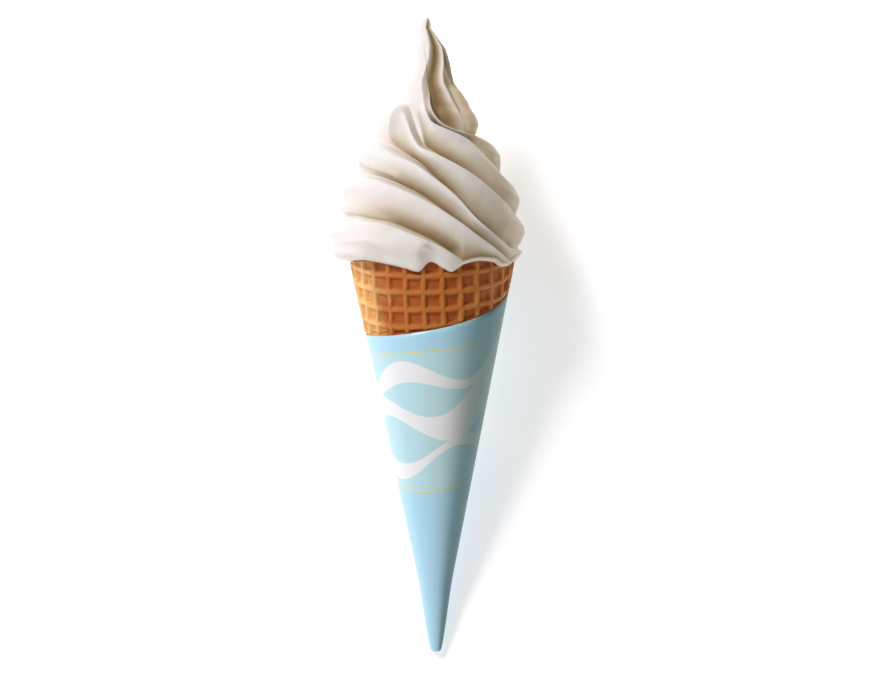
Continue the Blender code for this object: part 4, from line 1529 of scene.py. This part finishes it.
@dataclass
class RolledWafer:
    """The waffle cone: a baked sheet with a raised grid, rolled up with one seam."""

    sleeve: PaperSleeve
    wall: float = 0.0024
    tip_at: float = 0.0115
    hollow_at: float = 0.0150
    under_sleeve: float = 0.00070
    under_edge: float = 0.0002
    below_rim: float = 0.0016
    rim_round: float = 0.0004
    rim_shares: Row = (0.35, 0.7, 1.0)
    inner_round: float = 0.0003
    edge_gap: float = 0.0003
    edge_tuck: float = 0.0006
    edge_round: float = 0.0008
    cell_depth: float = 0.00120
    rib_top: float = 0.00034
    rib_slope: float = 0.00120
    rib_drift: float = 0.0013
    rib_uneven: float = 0.00050
    rib_merge: float = 0.25
    drift_scale: float = 110.0
    uneven_scale: float = 240.0
    crumb_scale: float = 700.0
    crumb_height: float = 0.00036
    row_pitch: float = 0.00598
    row_start: float = 0.13035
    column_pitch: float = 0.00655
    column_start: float = 0.00282
    grid_turn: float = math.radians(-2.3)
    roll_seam: float = math.radians(-128)
    roll_step: float = 0.0007
    roll_ramp: float = math.radians(70)
    seam_gap: float = 0.004
    # Angle spans of the painted light and shade, partly uneven baking.
    shade_deepens: Span = (-76.0, -26.0)
    shade_fades: Span = (190.0, 260.0)
    front_light_span: Span = (5.0, 55.0)
    front_painted_light: float = 0.22
    columns: int = 760
    rows: int = 96
    finish: WaferFinish = field(default_factory=WaferFinish)

    def roll_offset(self, angle: Array) -> Array:
        """How far the sheet's outer end stands off at its seam, easing down round the cone."""
        past = (angle - self.roll_seam) % (2 * math.pi)
        return self.roll_step * (1.0 - rise(past, (0.0, self.roll_ramp)))

    def levels(self, angle: Array) -> list[tuple[Array, Array, Array]]:
        """Levels of the sheet, from its tip up its outside, over the rim and down its inside.

        Args:
            angle: angle of each column.

        Returns:
            Height, distance off the cone and share of the grid's relief of each level.
        """
        edge = np.minimum(self.sleeve.edge(angle), CONE.rim_at - self.below_rim)
        rolled = self.roll_offset(angle)
        same = 0 * angle
        hidden = -self.under_sleeve + same
        found = [(self.tip_at + same, hidden, same), (edge + self.under_edge, hidden, same)]
        bottom, top = edge + self.edge_gap, CONE.rim_at - self.rim_round
        for step in range(self.rows + 1):
            along = bottom + (top - bottom) * step / self.rows
            tucked = self.edge_tuck * (1.0 - rise(along - bottom, (0.0, self.edge_round)))
            found.append((along, rolled - tucked, 1.0 + same))
        for share in self.rim_shares:
            turn = share * math.pi / 2
            along = CONE.rim_at - self.rim_round * (1 - math.sin(turn)) + same
            found.append((along, rolled - self.rim_round * (1 - math.cos(turn)), 1.0 - share + same))
        inner = -self.wall + same
        found.append((CONE.rim_at + same, inner + self.inner_round, same))
        middle = 0.5 * (CONE.rim_at + self.hollow_at)
        for along in (CONE.rim_at - self.inner_round, middle, self.hollow_at):
            found.append((along + same, inner, same))
        return found

    def browning_and_shade(self, angle: Array) -> Array:
        """How deep the sheet's colour is: partly uneven baking, partly painted light and shade, paler on
        the lit left and a little paler on the right of the front.

        Args:
            angle: angle of each column.

        Returns:
            0 where it is palest and 1 where it is deepest.
        """
        turned = (np.degrees(angle) + 90.0) % 360.0 - 90.0
        baked = rise(turned, self.shade_deepens) * (1.0 - rise(turned, self.shade_fades))
        return baked * (1.0 - self.front_painted_light * rise(turned, self.front_light_span))

    def shape(self) -> bpy.types.Object:
        """Build the plain rolled sheet, with each point's place on the flat sheet as attributes.

        Returns:
            The object, without its finish.
        """
        even = np.linspace(0.0, 2 * math.pi, self.columns, endpoint=False)
        angle = self.roll_seam + self.seam_gap + even * (2 * math.pi - 2 * self.seam_gap) / even[-1]
        levels = self.levels(angle)
        rings = np.array([CONE.ring(angle, along, offset) for along, offset, _ in levels])
        points, faces = capped(rings)
        made = mesh_object("rolled_wafer", points, faces)
        flat = [CONE.flat(angle, along, self.grid_turn) for along, _, _ in levels]
        point_values(made, "flat_across", with_middles([place[0] for place in flat]))
        point_values(made, "flat_up", with_middles([place[1] for place in flat]))
        point_values(made, "browning_and_shade", with_middles(np.tile(self.browning_and_shade(angle), len(levels)), 0.5))
        point_values(made, "shown", with_middles([shown for _, _, shown in levels]))
        return made

    def relief_sizes(self) -> dict[str, float]:
        """Named sizes of the grid, as inputs for the geometry nodes."""
        return {
            "Column pitch": self.column_pitch,
            "Column start": self.column_start,
            "Row pitch": self.row_pitch,
            "Row start": self.row_start,
            "Cell depth": self.cell_depth,
            "Rib top": self.rib_top,
            "Rib slope": self.rib_slope,
        }

    def relief_tree(self, material: bpy.types.Material) -> bpy.types.NodeTree:
        """Geometry nodes that press the cells of the grid into the sheet.

        Args:
            material: the wafer's finish.

        Returns:
            The node group, with its sizes as named inputs.
        """
        tree = bpy.data.node_groups.new("pressed_grid", "GeometryNodeTree")
        tree.interface.new_socket("Geometry", in_out="INPUT", socket_type="NodeSocketGeometry")
        for name, size in self.relief_sizes().items():
            made = tree.interface.new_socket(name, in_out="INPUT", socket_type="NodeSocketFloat")
            made.default_value = size
        tree.interface.new_socket("Geometry", in_out="OUTPUT", socket_type="NodeSocketGeometry")
        recipe = Recipe(tree)
        given = recipe.add("NodeGroupInput").outputs

        def stored(name: str) -> Socket:
            """Number that each point holds."""
            return recipe.add("GeometryNodeInputNamedAttribute", {0: name}, data_type="FLOAT").outputs[0]

        place = recipe.add("GeometryNodeInputPosition").outputs[0]
        drift = recipe.noise(place, self.drift_scale, 1.0)
        across = recipe.sum("MULTIPLY_ADD", drift, self.rib_drift, stored("flat_across"))
        up = recipe.sum("MULTIPLY_ADD", drift, -self.rib_drift, stored("flat_up"))
        swelling = recipe.sum("SUBTRACT", recipe.noise(place, self.uneven_scale, 2.0), 0.5)
        top = recipe.sum("ADD", given["Rib top"], recipe.sum("MULTIPLY", swelling, self.rib_uneven))

        def rib(where: Socket, pitch: str, start: str) -> Socket:
            """Find the ribs of one direction of the grid.

            Args:
                where: distance across these ribs.
                pitch: name of the input that holds their pitch.
                start: name of the input that holds the place of one of them.

            Returns:
                The socket of a number, 1 on a rib and 0 in a cell.
            """
            steps = recipe.sum("DIVIDE", recipe.sum("SUBTRACT", where, given[start]), given[pitch])
            apart = recipe.sum("ABSOLUTE", recipe.sum("SUBTRACT", steps, recipe.sum("ROUND", steps)))
            distance = recipe.sum("SUBTRACT", recipe.sum("MULTIPLY", apart, given[pitch]), top)
            return recipe.eased(recipe.sum("DIVIDE", distance, given["Rib slope"]), (0.0, 1.0), 1.0, 0.0)

        upright = rib(across, "Column pitch", "Column start")
        level = rib(up, "Row pitch", "Row start")
        raised = recipe.sum("MINIMUM", recipe.sum("SMOOTH_MAX", upright, level, self.rib_merge), 1.0)
        crumbs = recipe.sum("SUBTRACT", recipe.noise(place, self.crumb_scale, 3.0), 0.5)
        pressed = recipe.sum("MULTIPLY", recipe.sum("SUBTRACT", raised, 1.0), given["Cell depth"])
        uneven = recipe.sum("MULTIPLY_ADD", crumbs, self.crumb_height, pressed)
        depth = recipe.sum("MULTIPLY", uneven, stored("shown"))
        outward = recipe.add("GeometryNodeInputNormal").outputs[0]
        shift = recipe.add("ShaderNodeVectorMath", {0: outward}, operation="SCALE")
        recipe.feed(shift, "Scale", depth)
        relief = {0: given["Geometry"], "Name": "relief"}
        kept = recipe.add("GeometryNodeStoreNamedAttribute", relief, data_type="FLOAT")
        recipe.feed(kept, "Value", raised)
        moved = recipe.add("GeometryNodeSetPosition", {0: kept.outputs[0], "Offset": shift.outputs[0]})
        real = recipe.add("GeometryNodeRealizeInstances", {0: moved.outputs[0]})
        dressed = recipe.add("GeometryNodeSetMaterial", {0: real.outputs[0], "Material": material})
        recipe.add("NodeGroupOutput", {0: dressed.outputs[0]})
        return tree

    def build(self) -> bpy.types.Object:
        """Build and dress the wafer, standing for its CAD node.

        Returns:
            The object.
        """
        made = self.shape()
        material = self.finish.make()
        modifier = made.modifiers.new("Pressed grid", "NODES")
        modifier.node_group = self.relief_tree(material)
        sizes = self.relief_sizes()
        for item in modifier.node_group.interface.items_tree:
            if item.name in sizes:
                modifier[item.identifier] = sizes[item.name]
        graph = bpy.context.evaluated_depsgraph_get()
        pressed = bpy.data.meshes.new_from_object(made.evaluated_get(graph), depsgraph=graph)
        made.modifiers.remove(modifier)
        made.data = pressed
        if not pressed.materials:
            pressed.materials.append(material)
        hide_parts("waffle_cone")
        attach(made, "root")
        return made


# Studio


@dataclass(frozen=True)
class SoftBox:
    """A square studio light, aimed at the cone."""

    name: str
    right: float
    up: float
    toward: float
    size: float
    power: float
    colour: Colour = (1.0, 1.0, 1.0)


@dataclass
class Studio:
    """Pale floor, soft light and the camera at the photograph's angle."""

    pixel: float = 0.3476e-3
    photo_width: int = 873
    view_across: float = 0.00139
    view_along: float = 0.11262
    lens: float = 180.0
    sensor: float = 36.0
    floor_size: float = 6.0
    floor_colour: Colour = (0.90, 0.90, 0.90)
    floor_roughness: float = 0.9
    lit_along: float = 0.14
    lights: tuple[SoftBox, ...] = (
        SoftBox("key", -0.64, 0.74, 0.80, 0.36, 10.6, (1.0, 0.985, 1.06)),
        SoftBox("low", -0.40, -0.85, 0.58, 0.40, 2.1, (1.0, 0.985, 1.06)),
    )
    sky_colour: Colour = (1.0, 0.88, 0.69)
    sky_strength: float = 0.285
    floor_glow: float = 0.49
    glow_colour: Colour = (0.95, 0.98, 1.04)

    def aim(self, made: bpy.types.Object, spot: Vector, target: Vector) -> None:
        """Put a light somewhere and turn it to a target.

        Args:
            made: the light.
            spot: where it stands.
            target: what it is turned to.
        """
        made.location = spot
        made.rotation_euler = (target - spot).to_track_quat("-Z", "Y").to_euler()

    def build_lights(self) -> None:
        """Add the soft boxes and the even light all round."""
        middle = Vector(CONE.place(np.array(0.0), np.array(self.lit_along), np.array(0.0)))
        for box in self.lights:
            light = bpy.data.lights.new(box.name, "AREA")
            light.size = box.size
            light.energy = box.power
            light.color = box.colour
            made = bpy.data.objects.new(box.name, light)
            bpy.context.scene.collection.objects.link(made)
            way = CONE.along_axis * box.up + CONE.toward_viewer * box.toward
            way.x += box.right
            self.aim(made, middle + way, middle)
        world = bpy.data.worlds.new("studio")
        world.use_nodes = True
        sky = world.node_tree.nodes["Background"].inputs
        sky[0].default_value = (*self.sky_colour, 1.0)
        sky[1].default_value = self.sky_strength
        bpy.context.scene.world = world

    def build_floor(self) -> None:
        """Add the pale floor."""
        half = self.floor_size / 2
        points = [(-half, -half, 0.0), (half, -half, 0.0), (half, half, 0.0), (-half, half, 0.0)]
        mesh = bpy.data.meshes.new("floor")
        mesh.from_pydata(points, [], [(0, 1, 2, 3)])
        made = bpy.data.objects.new("floor", mesh)
        bpy.context.scene.collection.objects.link(made)
        material, _, shader = new_material("floor")
        shader.inputs["Base Color"].default_value = (*self.floor_colour, 1.0)
        shader.inputs["Roughness"].default_value = self.floor_roughness
        shader.inputs["Emission Color"].default_value = (*self.glow_colour, 1.0)
        shader.inputs["Emission Strength"].default_value = self.floor_glow
        mesh.materials.append(material)

    def build_camera(self) -> None:
        """Add the camera, square to the cone's axis as in the photograph."""
        camera = bpy.data.cameras.new("camera")
        camera.lens = self.lens
        camera.sensor_width = self.sensor
        made = bpy.data.objects.new("camera", camera)
        bpy.context.scene.collection.objects.link(made)
        distance = self.lens / self.sensor * self.photo_width * self.pixel
        across, along = np.array(self.view_across), np.array(self.view_along)
        middle = Vector(CONE.place(across, along, np.array(0.0)))
        middle.x -= CONE.lean * (CONE.rim_at - self.view_along)
        spot = middle + CONE.toward_viewer * distance
        turn = Matrix(((1, 0, 0), CONE.along_axis, CONE.toward_viewer)).transposed()
        made.matrix_world = Matrix.Translation(spot) @ turn.to_4x4()
        bpy.context.scene.camera = made

    def build(self) -> None:
        """Build the whole studio."""
        self.build_floor()
        self.build_lights()
        self.build_camera()
        bpy.context.scene.view_settings.view_transform = "Standard"


def main() -> None:
    """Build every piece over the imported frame."""
    logging.basicConfig(level=logging.INFO, format="%(message)s")
    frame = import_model()
    log.info("frame: %s", ", ".join(sorted(frame["nodes"])))
    sleeve = PaperSleeve()
    for piece in (SoftServe(), RolledWafer(sleeve), sleeve):
        made = piece.build()
        log.info("%s: %d faces", made.name, len(made.data.polygons))
    Studio().build()


if __name__ == "__main__":
    main()
